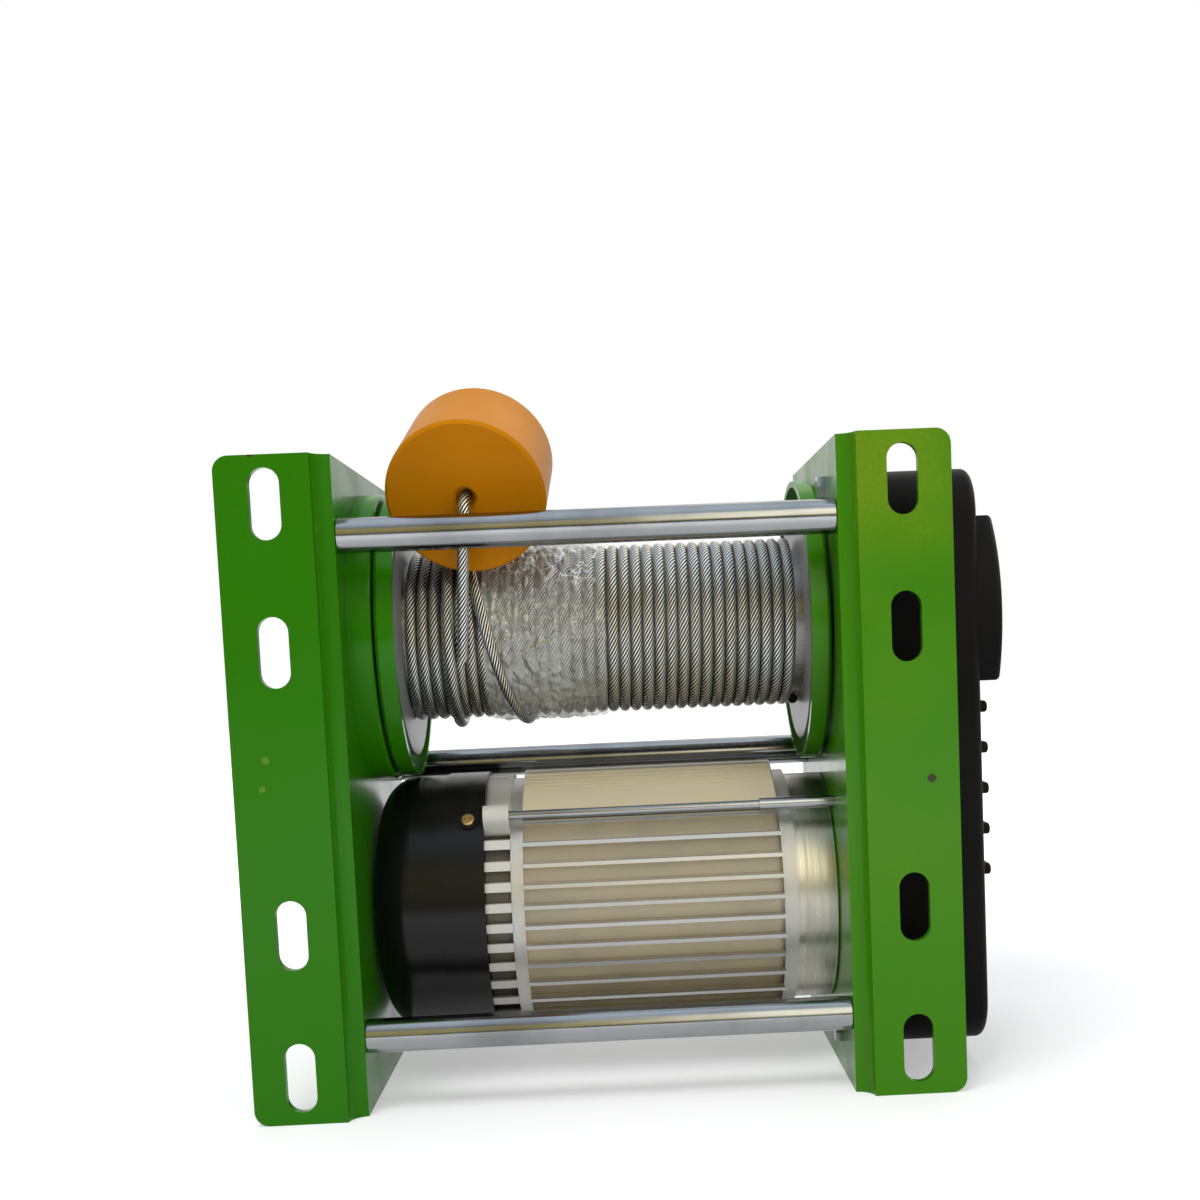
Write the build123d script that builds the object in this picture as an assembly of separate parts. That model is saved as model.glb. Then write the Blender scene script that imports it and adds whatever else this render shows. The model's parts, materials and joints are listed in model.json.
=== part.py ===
from build123d import *
from math import acos, asin, atan2, cos, degrees, hypot, pi, radians, sin, sqrt, tan
import os

# Electric wire rope hoist, drum above the motor, between two bent side plates.
# Millimetres. Pieces are drawn about the frame's own datum: X from the middle between
# the side plates, Y from the mounting flanges' front face, Z from half height.
# They are moved at the end, so that the origin is the bottom centre of the hoist's box.

# Running and fastening clearances, radial
run_gap = 0.05
bolt_gap = 0.1

# Side plates
web_span = 227.4
plate_t = 4.0
plate_height = 304.0
web_depth = 171.0
flange_reach = 50.8
bend_inner_r = 4.0
flange_corner_r = 7.0
slot_w = 14.0
slot_len = 32.0
slot_inset = 28.65
inner_slot_pitch = 128.4
outer_slot_inset = 21.8

# Tie rods and their end bolts
rod_d = 16.0
front_rod_depth = 16.0
front_rod_inset = 36.0
rear_rod_inset = 16.0
rear_rod_rise = 0.0
rod_chamfer = 0.5
rod_drill_end = 2.0
rod_bolt_d = 8.0
rod_bolt_grip = 20.0
rod_bolt_af = 13.0
rod_bolt_head_h = 5.3
washer_d = 15.6
washer_t = 1.6
washer_pocket_gap = 1.0

# Gear train: motor pinion to lay gear, lay pinion to drum gear
stage1_module = 1.5
motor_pinion_teeth = 14
lay_gear_teeth = 74
stage1_width = 12.0
stage2_module = 1.75
lay_pinion_teeth = 12
drum_gear_teeth = 70
stage2_width = 15.0
pinion_overhang = 1.0
pressure_angle = 25.0
addendum = 0.9
dedendum = 1.2
tooth_backlash = 0.2
layshaft_lean = 7.4
drum_lean = -4.4
gear_spokes = 6
gear_hole_r = 8.0
drum_gear_rim = 7.0
drum_gear_recess = 4.0
drum_gear_hub_r = 22.0
lay_gear_rim = 6.0
lay_gear_recess = 3.0
lay_gear_hub_r = 18.0

# Keys, nuts and spacers on the gear shafts
key_end_gap = 0.5
key_top_gap = 0.3
drum_key_w = 8.0
drum_key_sink = 4.0
drum_key_rise = 3.0
lay_key_w = 5.0
lay_key_sink = 3.0
lay_key_rise = 2.0
lay_seat_step = 1.5
shaft_end_gap = 0.3
spacer_wall = 1.8
drum_step_gap = 0.5
drum_nut_gap = 0.6
drum_nut_af = 30.0
drum_nut_t = 7.0
pinion_nut_gap = 0.2
pinion_nut_af = 17.0
pinion_nut_t = 6.0
pinion_thread_step = 1.0

# Motor axis
motor_depth = 99.0
motor_drop = 67.0

# Drum, its flanges and the wound rope
drum_side_gap = 1.2
drum_cover_gap = 1.8
flange_d = 141.0
flange_rim_w = 9.0
flange_rim_t = 3.0
flange_disc_t = 3.5
flange_edge = 1.5
cheek_d = 120.0
cheek_recess = 0.5
barrel_d = 73.6
barrel_wall = 5.0
barrel_weld = 1.0
rope_d = 5.7
rope_turns = 34
second_layer_rise = 4.75
second_layer_turn = 4
tail_turn_gap = 0.35
film_start_turn = 7
film_end_turn = 17
film_t = 0.4
film_gap = 0.3
drum_shaft_d = 25.0
drum_tip_d = 20.0

# Left bearing housing and its cap
housing_d = 144.0
housing_t = 11.0
housing_lip_t = 2.0
housing_lip_bore = 40.0
cap_d = 68.0
cap_t = 3.5
cap_pocket = 1.5
cap_spigot_wall = 4.0
cap_edge = 1.0
cap_screw_pcd = 58.0
cap_screw_count = 4
cap_screw_d = 5.0
cap_screw_len = 12.0

# Socket screws, as shares of the thread's diameter
screw_head_r = 0.84
screw_head_h = 1.0
screw_socket_af = 0.8
screw_socket_depth = 0.5
screw_edge = 0.07

# Rolling bearings: bore, outer diameter, width
bearing_25 = (25.0, 47.0, 12.0)
bearing_20 = (20.0, 42.0, 12.0)
bearing_17 = (17.0, 40.0, 12.0)
bearing_15 = (15.0, 35.0, 11.0)
bearing_15_slim = (15.0, 32.0, 9.0)
bearing_seal_w = 6.0
bearing_seal_sink = 0.5

# Gear case plate and cover
case_t = 15.0
gasket_t = 0.8
cover_front = 28.0
cover_rear = 166.0
cover_rise = 138.7
cover_corner_r = 22.0
case_corner_min = 1.0
cover_depth = 49.0
cover_wall = 3.5
cover_edge_r = 4.0
boss_proud = 11.4
boss_up = 46.0
boss_down = 33.0
boss_inset = 0.5
boss_edge_r = 3.0
ridge_count = 5
ridge_pitch = 19.65
ridge_first_drop = 45.4
ridge_h = 5.5
ridge_proud = 4.5
ridge_inset = 8.0
ridge_edge_r = 1.2
cover_screw_d = 6.0
cover_screw_inset = 13.0
cover_column_d = 16.0
cover_screw_sink = 1.0
cover_counterbore = 0.9
cover_screw_grip = 7.0
cover_tap_depth = 8.0
hub_wall = 5.0
lay_hub_wall = 4.5
hub_relief = 0.5
cover_mid_screw_drop = 55.0
cover_mid_screw_inset = 10.0
case_screw_d = 6.0
case_screw_inset = 18.0
case_screw_inset_z = 20.0
case_screw_af = 10.0
case_screw_head_h = 4.0
case_screw_end = 5.0
case_hole_end = 4.0
seal_d = 28.0
seal_t = 7.0
seal_sink = 1.0
seal_groove_w = 2.5
seal_groove_depth = 3.0
stage_gap = 3.5

# Motor body
fin_tip_r = 66.0
fin_root_r = 57.0
fin_t = 1.8
fin_pitch = 9.8
fin_rows = 12
top_fin_rows = 6
rib_reach = 2.1
pad_start = 100.0
pad_end = 134.0
stator_r = 50.0
body_start = -45.0
front_ring_w = 6.1
front_ring_r = 62.0
fins_length = 125.6
rear_ring_w = 6.7
rear_ring_r = 60.5
end_bell_r = 58.0
end_bell_wall = 6.0
end_bell_edge = 0.8
end_bell_lip = 2.0
end_bell_floor = 1.0
shield_w = 12.4
shield_disc_t = 3.0
shield_disc_lap = 1.0
shield_hole_r = 8.0
shield_hole_count = 6
shield_hub_wall = 5.0
shield_hub_extra = 1.0
shield_lug_base = 3.0
spigot_len = 14.0
spigot_gap = 0.8
shield_core_r = 58.5
shield_tip_r = 64.0
shield_rib_t = 4.2
bolt_angles = (44.0, 136.0, 250.0)
motor_bolt_d = 4.4
motor_bolt_gap = 1.0
bolt_sleeve_d = 6.2
bolt_sleeve_len = 36.7
bolt_head_r = 3.8
bolt_head_h = 4.0
bolt_head_sink = 5.0
bolt_head_gap = 0.3
bolt_socket_af = 3.5
bolt_socket_depth = 2.0
bolt_end = 4.0
bolt_hole_end = 3.0
lug_w = 10.6
stator_len = 88.0
stator_start = -22.0
stator_bore_r = 34.0
air_gap = 0.5
winding_len = 14.0
winding_gap = 2.0
winding_inset = 3.0
winding_soft = 3.0
end_ring_w = 6.0
end_ring_drop = 3.0
end_ring_bore = 8.0
rotor_shaft_r = 11.0
shaft_step_gap = 0.5
fan_shaft_gap = 8.0
rear_journal_gap = 1.5
fan_shaft_d = 15.0
pinion_shaft_d = 12.0

# Fan cowl, fan and brake
cowl_r = 66.0
cowl_step = 0.7
cowl_wall = 2.2
cowl_first_band = 20.5
cowl_second_band = 14.0
cowl_end_r = 48.0
cowl_web_gap = 1.5
inlet_count = 12
inlet_place_r = 30.0
inlet_len = 22.0
inlet_w = 4.0
cowl_boss_r = 5.0
cowl_boss_rise = 0.6
cowl_boss_lap = 0.2
cowl_screw_d = 4.0
cowl_screw_head_r = 3.4
cowl_screw_head_h = 1.6
cowl_screw_head_edge = 0.8
cowl_screw_cross_l = 4.2
cowl_screw_cross_w = 0.9
cowl_screw_cross_depth = 0.7
cowl_screw_foot = 6.0
cowl_screw_back = 7.9
fan_r = 46.0
fan_blades = 9
fan_len = 17.0
fan_hub_r = 13.0
fan_disc_t = 2.0
fan_gap = 2.0
fan_blade_t = 1.8
fan_blade_short = 1.0
brake_r = 40.0
magnet_len = 11.0
magnet_gap = 0.2
magnet_bore_gap = 3.0
coil_depth = 6.0
coil_outer_wall = 7.0
coil_w = 10.0
armature_rest_gap = 0.1
armature_bore_gap = 4.0
armature_t = 2.0
armature_travel = 0.5
brake_clearance = 0.3
brake_disc_t = 5.0
brake_disc_edge = 1.0
lining_w = 11.0
disc_relief = 0.8
disc_hub_wall = 6.0
pressure_plate_t = 3.0
pressure_plate_rim = 7.0
pressure_plate_bore_gap = 5.0
post_count = 3
post_place = 3.2
post_r = 2.2
post_lap = 1.0
post_gap = 0.1

# Rope tail, limit weight, eye and hook
weight_front = (-56.5, 32.0, 132.2)
weight_tilt = 28.0
weight_yaw = 5.0
weight_r = 37.8
weight_tail_r = 36.3
weight_len = 52.0
weight_bore_r = 4.5
weight_edge_r = 1.5
weight_guide_start = 5.0
weight_guide_end = 40.0
weight_travel = 6.0
tail_bend_out = 7.0
tail_bend_share = 1.3
tail_run_share = 0.45
tail_start_angle = 197.0
tail_bend_in = 6.0
tail_end_run = 16.0
eye_tilt = 26.0
eye_yaw = 8.0
ferrule_len = 16.0
ferrule_wall = 1.9
ferrule_edge_r = 0.8
thimble_bore_r = 8.0
thimble_wall = 1.35
thimble_lip = 0.9
thimble_lip_rise = 3.2
thimble_side_gap = 0.1
thimble_tip_r = 0.5
thimble_bore_tip = 5.0
thimble_band_tip = 2.6
thimble_lip_tip = 4.0
eye_length = 19.0
eye_strand_share = 0.62
hook_lean = 15.0
hook_bar = 8.0
hook_plate_t = 7.0
hook_eye_r = 8.6
hook_drop = 50.0
hook_bowl_r = 12.0
hook_back_r = 23.0
hook_eye_offset = 15.2
hook_neck = 4.0
hook_tip_w = 4.4
latch_t = 1.5
latch_pin_d = 4.0
latch_pivot = (-6.0, -27.0)
latch_len = 25.0
latch_angle = 41.8
latch_cheek_wall = 1.6
latch_tongue_t = 2.0
latch_tip_r = 1.0
pin_head_proud = 0.8

# Derived places
half_span = web_span / 2
web_outer = half_span + plate_t
slot_x = half_span + slot_inset
outer_slot_pitch = plate_height - 2 * outer_slot_inset
front_rod_rise = plate_height / 2 - front_rod_inset
rear_rod_depth = web_depth - rear_rod_inset
case_screw_rise = plate_height / 2 - case_screw_inset_z
stage1_centres = stage1_module * (motor_pinion_teeth + lay_gear_teeth) / 2
lay_depth = motor_depth - stage1_centres * sin(radians(layshaft_lean))
lay_rise = -motor_drop + stage1_centres * cos(radians(layshaft_lean))
stage2_centres = stage2_module * (lay_pinion_teeth + drum_gear_teeth) / 2
drum_depth = lay_depth - stage2_centres * sin(radians(drum_lean))
drum_rise = lay_rise + stage2_centres * cos(radians(drum_lean))
motor_axis = (motor_depth, -motor_drop)
lay_axis = (lay_depth, lay_rise)
drum_axis = (drum_depth, drum_rise)
rod_places = (
    (front_rod_depth, front_rod_rise),
    (front_rod_depth, -front_rod_rise),
    (rear_rod_depth, rear_rod_rise),
)

housing_face = -half_span + housing_t
left_rim_out = housing_face + drum_side_gap
left_rim_in = left_rim_out + flange_rim_w
right_rim_out = half_span - drum_cover_gap
right_rim_in = right_rim_out - flange_rim_w
bay_start = left_rim_in - cheek_recess
bay_end = right_rim_in + cheek_recess
rope_pitch = (bay_end - bay_start) / rope_turns
rope_layer_r = barrel_d / 2 + rope_d / 2
second_layer_r = rope_layer_r + second_layer_rise

case_end = web_outer + case_t
cover_start = case_end + gasket_t
cover_face = cover_start + cover_depth
boss_face = cover_face + boss_proud
stage1_start = case_end + stage_gap
stage1_end = stage1_start + stage1_width
stage2_start = stage1_end + stage_gap + pinion_overhang
stage2_end = stage2_start + stage2_width

fins_start = body_start + front_ring_w
fins_end = fins_start + fins_length
body_end = fins_end + rear_ring_w
shield_start = body_start - shield_w
bolt_circle_r = fin_tip_r + motor_bolt_gap + motor_bolt_d / 2
stator_end = stator_start + stator_len
cowl_end = -half_span + cowl_web_gap


def across(x, y=0.0, z=0.0):
    """Plane square to the drum's direction, local x along Y and local y along Z."""
    return Plane(origin=(x, y, z), x_dir=(0, 1, 0), z_dir=(1, 0, 0))


def bar(x0, x1, r, axis):
    """Round bar along X."""
    return extrude(across(x0, *axis) * Circle(r), x1 - x0)


def tube(x0, x1, r_out, r_in, axis):
    """Round tube along X."""
    return extrude(across(x0, *axis) * (Circle(r_out) - Circle(r_in)), x1 - x0)


def turned(profile, axis):
    """Turned piece from its half section, points of (x, radius)."""
    outline = Polyline(*[(x, r, 0) for x, r in profile], close=True)
    return Pos(0, axis[0], axis[1]) * revolve(make_face(outline), Axis.X)


def polar(axis, r, angle):
    """Depth and rise of a point at a radius and angle about an axis along X."""
    return (axis[0] + r * cos(radians(angle)), axis[1] + r * sin(radians(angle)))


def hexagon(x0, x1, across_flats, axis):
    """Hexagon prism along X."""
    return extrude(across(x0, *axis) * RegularPolygon(across_flats / sqrt(3), 6), x1 - x0)


def block(x0, x1, y0, y1, z0, z1):
    """Box between two corners."""
    return Pos((x0 + x1) / 2, (y0 + y1) / 2, (z0 + z1) / 2) * Box(x1 - x0, y1 - y0, z1 - z0)


def slanted(centre, direction):
    """Plane whose normal is a direction in space."""
    return Plane(origin=centre, z_dir=direction)


# Side plates

def side_plate(side):
    """Channel side with an outward mounting flange, side -1 left and +1 right."""
    web_in = side * half_span
    web_out = side * web_outer
    edge = side * (half_span + flange_reach)
    outer_r = bend_inner_r + plate_t
    bend_foot = (web_out + side * bend_inner_r, plate_t)
    bend_top = (web_out, plate_t + bend_inner_r)
    outline = (
        Line((web_in, web_depth), (web_in, outer_r))
        + RadiusArc((web_in, outer_r), (web_in + side * outer_r, 0), side * outer_r)
        + Line((web_in + side * outer_r, 0), (edge, 0))
        + Line((edge, 0), (edge, plate_t))
        + Line((edge, plate_t), bend_foot)
        + RadiusArc(bend_foot, bend_top, -side * bend_inner_r)
        + Line(bend_top, (web_out, web_depth))
        + Line((web_out, web_depth), (web_in, web_depth))
    )
    plate = extrude(Pos(0, 0, -plate_height / 2) * make_face(outline), plate_height, dir=(0, 0, 1))
    corners = plate.edges().filter_by(Axis.Y).group_by(Axis.X)[-1 if side > 0 else 0]
    plate = fillet(corners, flange_corner_r)
    front = Plane(origin=(side * slot_x, 0, 0), x_dir=(0, 0, 1), z_dir=(0, -1, 0))
    slot = SlotOverall(slot_len, slot_w)
    for pitch in (inner_slot_pitch, outer_slot_pitch):
        for half in (-pitch / 2, pitch / 2):
            plate -= extrude(front * Pos(half, 0) * slot, 2 * plate_t, both=True)
    for place in rod_places:
        plate -= bar(web_in, web_out, rod_bolt_d / 2 + bolt_gap, place)
    return plate


def left_side_plate():
    plate = side_plate(-1)
    plate -= bar(-half_span, -web_outer, bearing_25[1] / 2 + bolt_gap, drum_axis)
    for place in cap_screw_places():
        plate -= bar(-half_span, -web_outer, cap_screw_d / 2 + bolt_gap, place)
    return plate


def right_side_plate():
    plate = side_plate(1)
    plate -= bar(half_span, web_outer, housing_lip_bore / 2, drum_axis)
    plate -= bar(half_span, web_outer, seal_d / 2, motor_axis)
    for angle in bolt_angles:
        place = polar(motor_axis, bolt_circle_r, angle)
        plate -= bar(half_span, web_outer, motor_bolt_d / 2 + bolt_gap, place)
    for place in case_screw_places():
        plate -= bar(half_span, web_outer, case_screw_d / 2 + bolt_gap, place)
    return plate


# Tie rods

def tie_rod(place):
    """Round spacer rod between the webs, drilled at both ends for its bolts."""
    rod = chamfer(bar(-half_span, half_span, rod_d / 2, place).edges(), rod_chamfer)
    depth = rod_bolt_grip + rod_drill_end
    rod -= bar(-half_span, -half_span + depth, rod_bolt_d / 2, place)
    rod -= bar(half_span - depth, half_span, rod_bolt_d / 2, place)
    return rod


def end_bolt(side, place):
    seat = side * (web_outer + washer_t)
    head = hexagon(seat, seat + side * rod_bolt_head_h, rod_bolt_af, place)
    return head + bar(seat, side * (half_span - rod_bolt_grip), rod_bolt_d / 2 - bolt_gap, place)


def end_washer(side, place):
    seat = side * web_outer
    return tube(seat, seat + side * washer_t, washer_d / 2, rod_bolt_d / 2 + bolt_gap, place)


# Drum

def bearing(x0, size, axis):
    """Rolling bearing as one ring, with its seal grooves."""
    bore, outer, width = size
    ring = tube(x0, x0 + width, outer / 2, bore / 2 + run_gap, axis)
    mid_r = (outer + bore) / 4
    groove_r = mid_r + bearing_seal_w / 2
    groove = tube(x0, x0 + bearing_seal_sink, groove_r, groove_r - bearing_seal_w, axis)
    return ring - groove - Pos(width - bearing_seal_sink, 0, 0) * groove


def cap_screw_places():
    step = 360 / cap_screw_count
    return [polar(drum_axis, cap_screw_pcd / 2, step / 2 + step * k) for k in range(cap_screw_count)]


def left_bearing_housing():
    pocket_end = housing_face - housing_lip_t
    pocket_r = bearing_25[1] / 2 + bolt_gap
    lip_r = housing_lip_bore / 2
    ring = turned(
        [
            (-half_span, pocket_r),
            (pocket_end, pocket_r),
            (pocket_end, lip_r),
            (housing_face, lip_r),
            (housing_face, housing_d / 2 - cap_edge),
            (housing_face - cap_edge, housing_d / 2),
            (-half_span, housing_d / 2),
        ],
        drum_axis,
    )
    for place in cap_screw_places():
        ring -= bar(-half_span, pocket_end, cap_screw_d / 2 + bolt_gap, place)
    return ring


def bearing_cap():
    face = -web_outer
    spigot = face + plate_t - (bearing_25[2] - (housing_t - housing_lip_t)) - run_gap
    rim_r = bearing_25[1] / 2
    cap = turned(
        [
            (face - cap_t, 0),
            (face - cap_t, cap_d / 2 - cap_edge),
            (face - cap_t + cap_edge, cap_d / 2),
            (face, cap_d / 2),
            (face, rim_r),
            (spigot, rim_r),
            (spigot, rim_r - cap_spigot_wall),
            (face - cap_pocket, rim_r - cap_spigot_wall),
            (face - cap_pocket, 0),
        ],
        drum_axis,
    )
    for place in cap_screw_places():
        cap -= bar(face - cap_t, face, cap_screw_d / 2 + bolt_gap, place)
    return cap


def socket_screw(seat, tip, thread_d, place):
    """Screw with a hexagon socket, its head on the far side of the seat from the tip."""
    side = 1 if seat > tip else -1
    top = seat + side * screw_head_h * thread_d
    head = chamfer(bar(seat, top, screw_head_r * thread_d, place).edges(), screw_edge * thread_d)
    head -= hexagon(top - side * screw_socket_depth * thread_d, top, screw_socket_af * thread_d, place)
    return head + bar(tip, seat, thread_d / 2, place)


def cap_screw(place):
    seat = -web_outer - cap_t
    return socket_screw(seat, seat + cap_screw_len, cap_screw_d, place)


def drum_flange(outer, inward):
    """Pressed flange: a disc on the shaft with a rim turned towards the rope."""
    r = flange_d / 2
    bore = drum_shaft_d / 2 + run_gap
    floor = outer + inward * flange_disc_t
    rim = outer + inward * flange_rim_w
    return turned(
        [
            (outer, bore),
            (outer, r - flange_edge),
            (outer + inward * flange_edge, r),
            (rim, r),
            (rim, r - flange_rim_t),
            (floor, r - flange_rim_t),
            (floor, bore),
        ],
        drum_axis,
    )


def rope_cheek(floor, face):
    return tube(min(floor, face), max(floor, face), cheek_d / 2, barrel_d / 2 + bolt_gap, drum_axis)


def drum_barrel():
    left = left_rim_out + flange_disc_t
    right = right_rim_out - flange_disc_t
    shell = tube(left, right, barrel_d / 2, barrel_d / 2 - barrel_wall, drum_axis)
    hub_r = barrel_d / 2 - barrel_wall
    for x0 in (left, right - barrel_wall):
        shell += tube(x0, x0 + barrel_wall, hub_r + barrel_weld, drum_shaft_d / 2 + run_gap, drum_axis)
    return shell


def drum_shaft():
    start = -web_outer - cap_pocket + cap_edge
    step = stage2_end + drum_step_gap
    tip = boss_face - cover_wall - drum_step_gap
    key_seat = block(
        stage2_start,
        stage2_end,
        drum_depth - drum_key_w / 2,
        drum_depth + drum_key_w / 2,
        drum_rise + drum_shaft_d / 2 - drum_key_sink,
        drum_rise + drum_shaft_d / 2,
    )
    shaft = bar(start, step, drum_shaft_d / 2, drum_axis) + bar(step, tip, drum_tip_d / 2, drum_axis)
    return shaft - key_seat


def rope_winding():
    """Close turns of rope, with one turn of the second layer lying between two of them."""
    bore = barrel_d / 2 + bolt_gap
    edges = [Line((bay_start, bore), (bay_end, bore))]
    x = bay_end
    groove_r = rope_layer_r
    edges.append(Line((bay_end, bore), (bay_end, groove_r)))
    for _ in range(rope_turns):
        crest = (x - rope_pitch / 2, groove_r + rope_d / 2)
        edges.append(ThreePointArc((x, groove_r), crest, (x - rope_pitch, groove_r)))
        x -= rope_pitch
    edges.append(Line((bay_start, groove_r), (bay_start, bore)))
    pack = revolve(make_face(Curve() + edges), Axis.X)
    upper = Pos(second_turn_x(), second_layer_r, 0) * Circle(rope_d / 2)
    pack += revolve(upper, Axis.X)
    return Pos(0, drum_depth, drum_rise) * pack


def second_turn_x():
    return bay_start + rope_pitch * second_layer_turn


def protective_film():
    inner = rope_layer_r + rope_d / 2 + film_gap
    x0 = bay_start + rope_pitch * film_start_turn
    x1 = bay_start + rope_pitch * film_end_turn
    return tube(x0, x1, inner + film_t, inner, drum_axis)


# Gear train

def involute(angle):
    return tan(angle) - angle


def gear_face(teeth, module, phase):
    """Outline of a spur gear about its own centre, with a tooth centred at the phase angle."""
    pitch_r = module * teeth / 2
    base_r = pitch_r * cos(radians(pressure_angle))
    root_r = pitch_r - dedendum * module
    tip_r = pitch_r + addendum * module
    start_r = max(base_r, root_r)
    radii = [root_r] if start_r > root_r else []
    radii += [start_r + (tip_r - start_r) * t for t in (0, 0.5, 1)]
    pitch_half = pi / (2 * teeth) - tooth_backlash / (4 * pitch_r) + involute(radians(pressure_angle))
    points = []
    for k in range(teeth):
        middle = radians(phase) + 2 * pi * k / teeth
        flank = [(r, pitch_half - involute(acos(min(1, base_r / r)))) for r in radii]
        for r, half in flank:
            points.append((r * cos(middle - half), r * sin(middle - half)))
        for r, half in reversed(flank):
            points.append((r * cos(middle + half), r * sin(middle + half)))
    return make_face(Polyline(*points, close=True))


def heading(from_axis, to_axis):
    return degrees(atan2(to_axis[1] - from_axis[1], to_axis[0] - from_axis[0]))


def gear(teeth, module, phase, x0, x1, bore_r, axis):
    return extrude(across(x0, *axis) * (gear_face(teeth, module, phase) - Circle(bore_r)), x1 - x0)


def lightened(wheel, x0, x1, recess, web_r, hub_r, axis):
    """Wheel with both faces recessed and a ring of round holes through its web."""
    for start in (x0, x1 - recess):
        wheel -= tube(start, start + recess, web_r, hub_r, axis)
    for k in range(gear_spokes):
        wheel -= bar(x0, x1, gear_hole_r, polar(axis, (web_r + hub_r) / 2, 360 / gear_spokes * k))
    return wheel


def drum_gear():
    phase = heading(drum_axis, lay_axis)
    bore_r = drum_shaft_d / 2 + run_gap
    wheel = gear(drum_gear_teeth, stage2_module, phase, stage2_start, stage2_end, bore_r, drum_axis)
    web_r = stage2_module * drum_gear_teeth / 2 - drum_gear_rim
    wheel = lightened(wheel, stage2_start, stage2_end, drum_gear_recess, web_r, drum_gear_hub_r, drum_axis)
    return wheel - block(
        stage2_start,
        stage2_end,
        drum_depth - drum_key_w / 2,
        drum_depth + drum_key_w / 2,
        drum_rise,
        drum_rise + drum_shaft_d / 2 + drum_key_rise + key_top_gap,
    )


def drum_gear_key():
    return block(
        stage2_start + key_end_gap,
        stage2_end - key_end_gap,
        drum_depth - drum_key_w / 2 + run_gap,
        drum_depth + drum_key_w / 2 - run_gap,
        drum_rise + drum_shaft_d / 2 - drum_key_sink + run_gap,
        drum_rise + drum_shaft_d / 2 + drum_key_rise,
    )


def drum_gear_spacer():
    bore_r = drum_shaft_d / 2 + run_gap
    return tube(case_end + 2 * bolt_gap, stage2_start - bolt_gap, bore_r + spacer_wall, bore_r, drum_axis)


def drum_gear_nut():
    x0 = stage2_end + drum_nut_gap
    x1 = x0 + drum_nut_t
    return hexagon(x0, x1, drum_nut_af, drum_axis) - bar(x0, x1, drum_tip_d / 2 + run_gap, drum_axis)


def lay_shaft():
    """Lay shaft with its pinion cut in the solid."""
    journal = bearing_15[0] / 2
    seat = lay_seat_r()
    start = case_end - bearing_15[2] + shaft_end_gap
    step = case_end + shaft_end_gap
    tip = cover_face - cover_wall - shaft_end_gap
    teeth_start = stage2_start - pinion_overhang
    pinion_phase = heading(drum_axis, lay_axis) + 180 + 180 / lay_pinion_teeth
    shaft = bar(start, step, journal, lay_axis)
    shaft += bar(step, teeth_start, seat, lay_axis)
    shaft += bar(teeth_start, tip, journal, lay_axis)
    teeth = gear_face(lay_pinion_teeth, stage2_module, pinion_phase)
    shaft += extrude(across(teeth_start, *lay_axis) * teeth, stage2_width + 2 * pinion_overhang)
    return shaft - block(
        stage1_start,
        stage1_end,
        lay_depth - lay_key_w / 2,
        lay_depth + lay_key_w / 2,
        lay_rise + seat - lay_key_sink,
        lay_rise + seat,
    )


def lay_seat_r():
    return bearing_15[0] / 2 + lay_seat_step


def lay_gear():
    phase = heading(lay_axis, motor_axis)
    bore_r = lay_seat_r() + run_gap
    wheel = gear(lay_gear_teeth, stage1_module, phase, stage1_start, stage1_end, bore_r, lay_axis)
    web_r = stage1_module * lay_gear_teeth / 2 - lay_gear_rim
    wheel = lightened(wheel, stage1_start, stage1_end, lay_gear_recess, web_r, lay_gear_hub_r, lay_axis)
    return wheel - block(
        stage1_start,
        stage1_end,
        lay_depth - lay_key_w / 2,
        lay_depth + lay_key_w / 2,
        lay_rise,
        lay_rise + lay_seat_r() + lay_key_rise + key_top_gap,
    )


def lay_gear_key():
    return block(
        stage1_start + key_end_gap,
        stage1_end - key_end_gap,
        lay_depth - lay_key_w / 2 + run_gap,
        lay_depth + lay_key_w / 2 - run_gap,
        lay_rise + lay_seat_r() - lay_key_sink + run_gap,
        lay_rise + lay_seat_r() + lay_key_rise,
    )


def motor_pinion():
    phase = heading(lay_axis, motor_axis) + 180 + 180 / motor_pinion_teeth
    x0 = stage1_start - pinion_overhang
    x1 = stage1_end + pinion_overhang
    return gear(motor_pinion_teeth, stage1_module, phase, x0, x1, pinion_shaft_d / 2 + run_gap, motor_axis)


def pinion_nut():
    x0 = stage1_end + pinion_overhang + pinion_nut_gap
    x1 = x0 + pinion_nut_t
    thread_r = pinion_shaft_d / 2 - pinion_thread_step
    return hexagon(x0, x1, pinion_nut_af, motor_axis) - bar(x0, x1, thread_r + run_gap, motor_axis)


# Gear case and cover

def case_outline(inset=0.0):
    """Outline shared by the case plate, gasket and cover, drawn on a plane across X."""
    width = cover_rear - cover_front - 2 * inset
    height = 2 * cover_rise - 2 * inset
    corner = max(cover_corner_r - inset, case_corner_min)
    return Pos((cover_rear + cover_front) / 2, 0) * RectangleRounded(width, height, corner)


def cover_screw_places():
    front = cover_front + cover_screw_inset
    rear = cover_rear - cover_screw_inset
    rise = cover_rise - cover_screw_inset
    corners = [(front, rise), (rear, rise), (front, -rise), (rear, -rise)]
    mids = [
        (cover_front + cover_mid_screw_inset, -cover_mid_screw_drop),
        (cover_rear - cover_mid_screw_inset, -cover_mid_screw_drop),
    ]
    return corners + mids


def case_screw_places():
    front = cover_front + case_screw_inset
    rear = cover_rear - case_screw_inset
    return [(y, z) for y in (front, rear) for z in (case_screw_rise, -case_screw_rise)]


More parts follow.
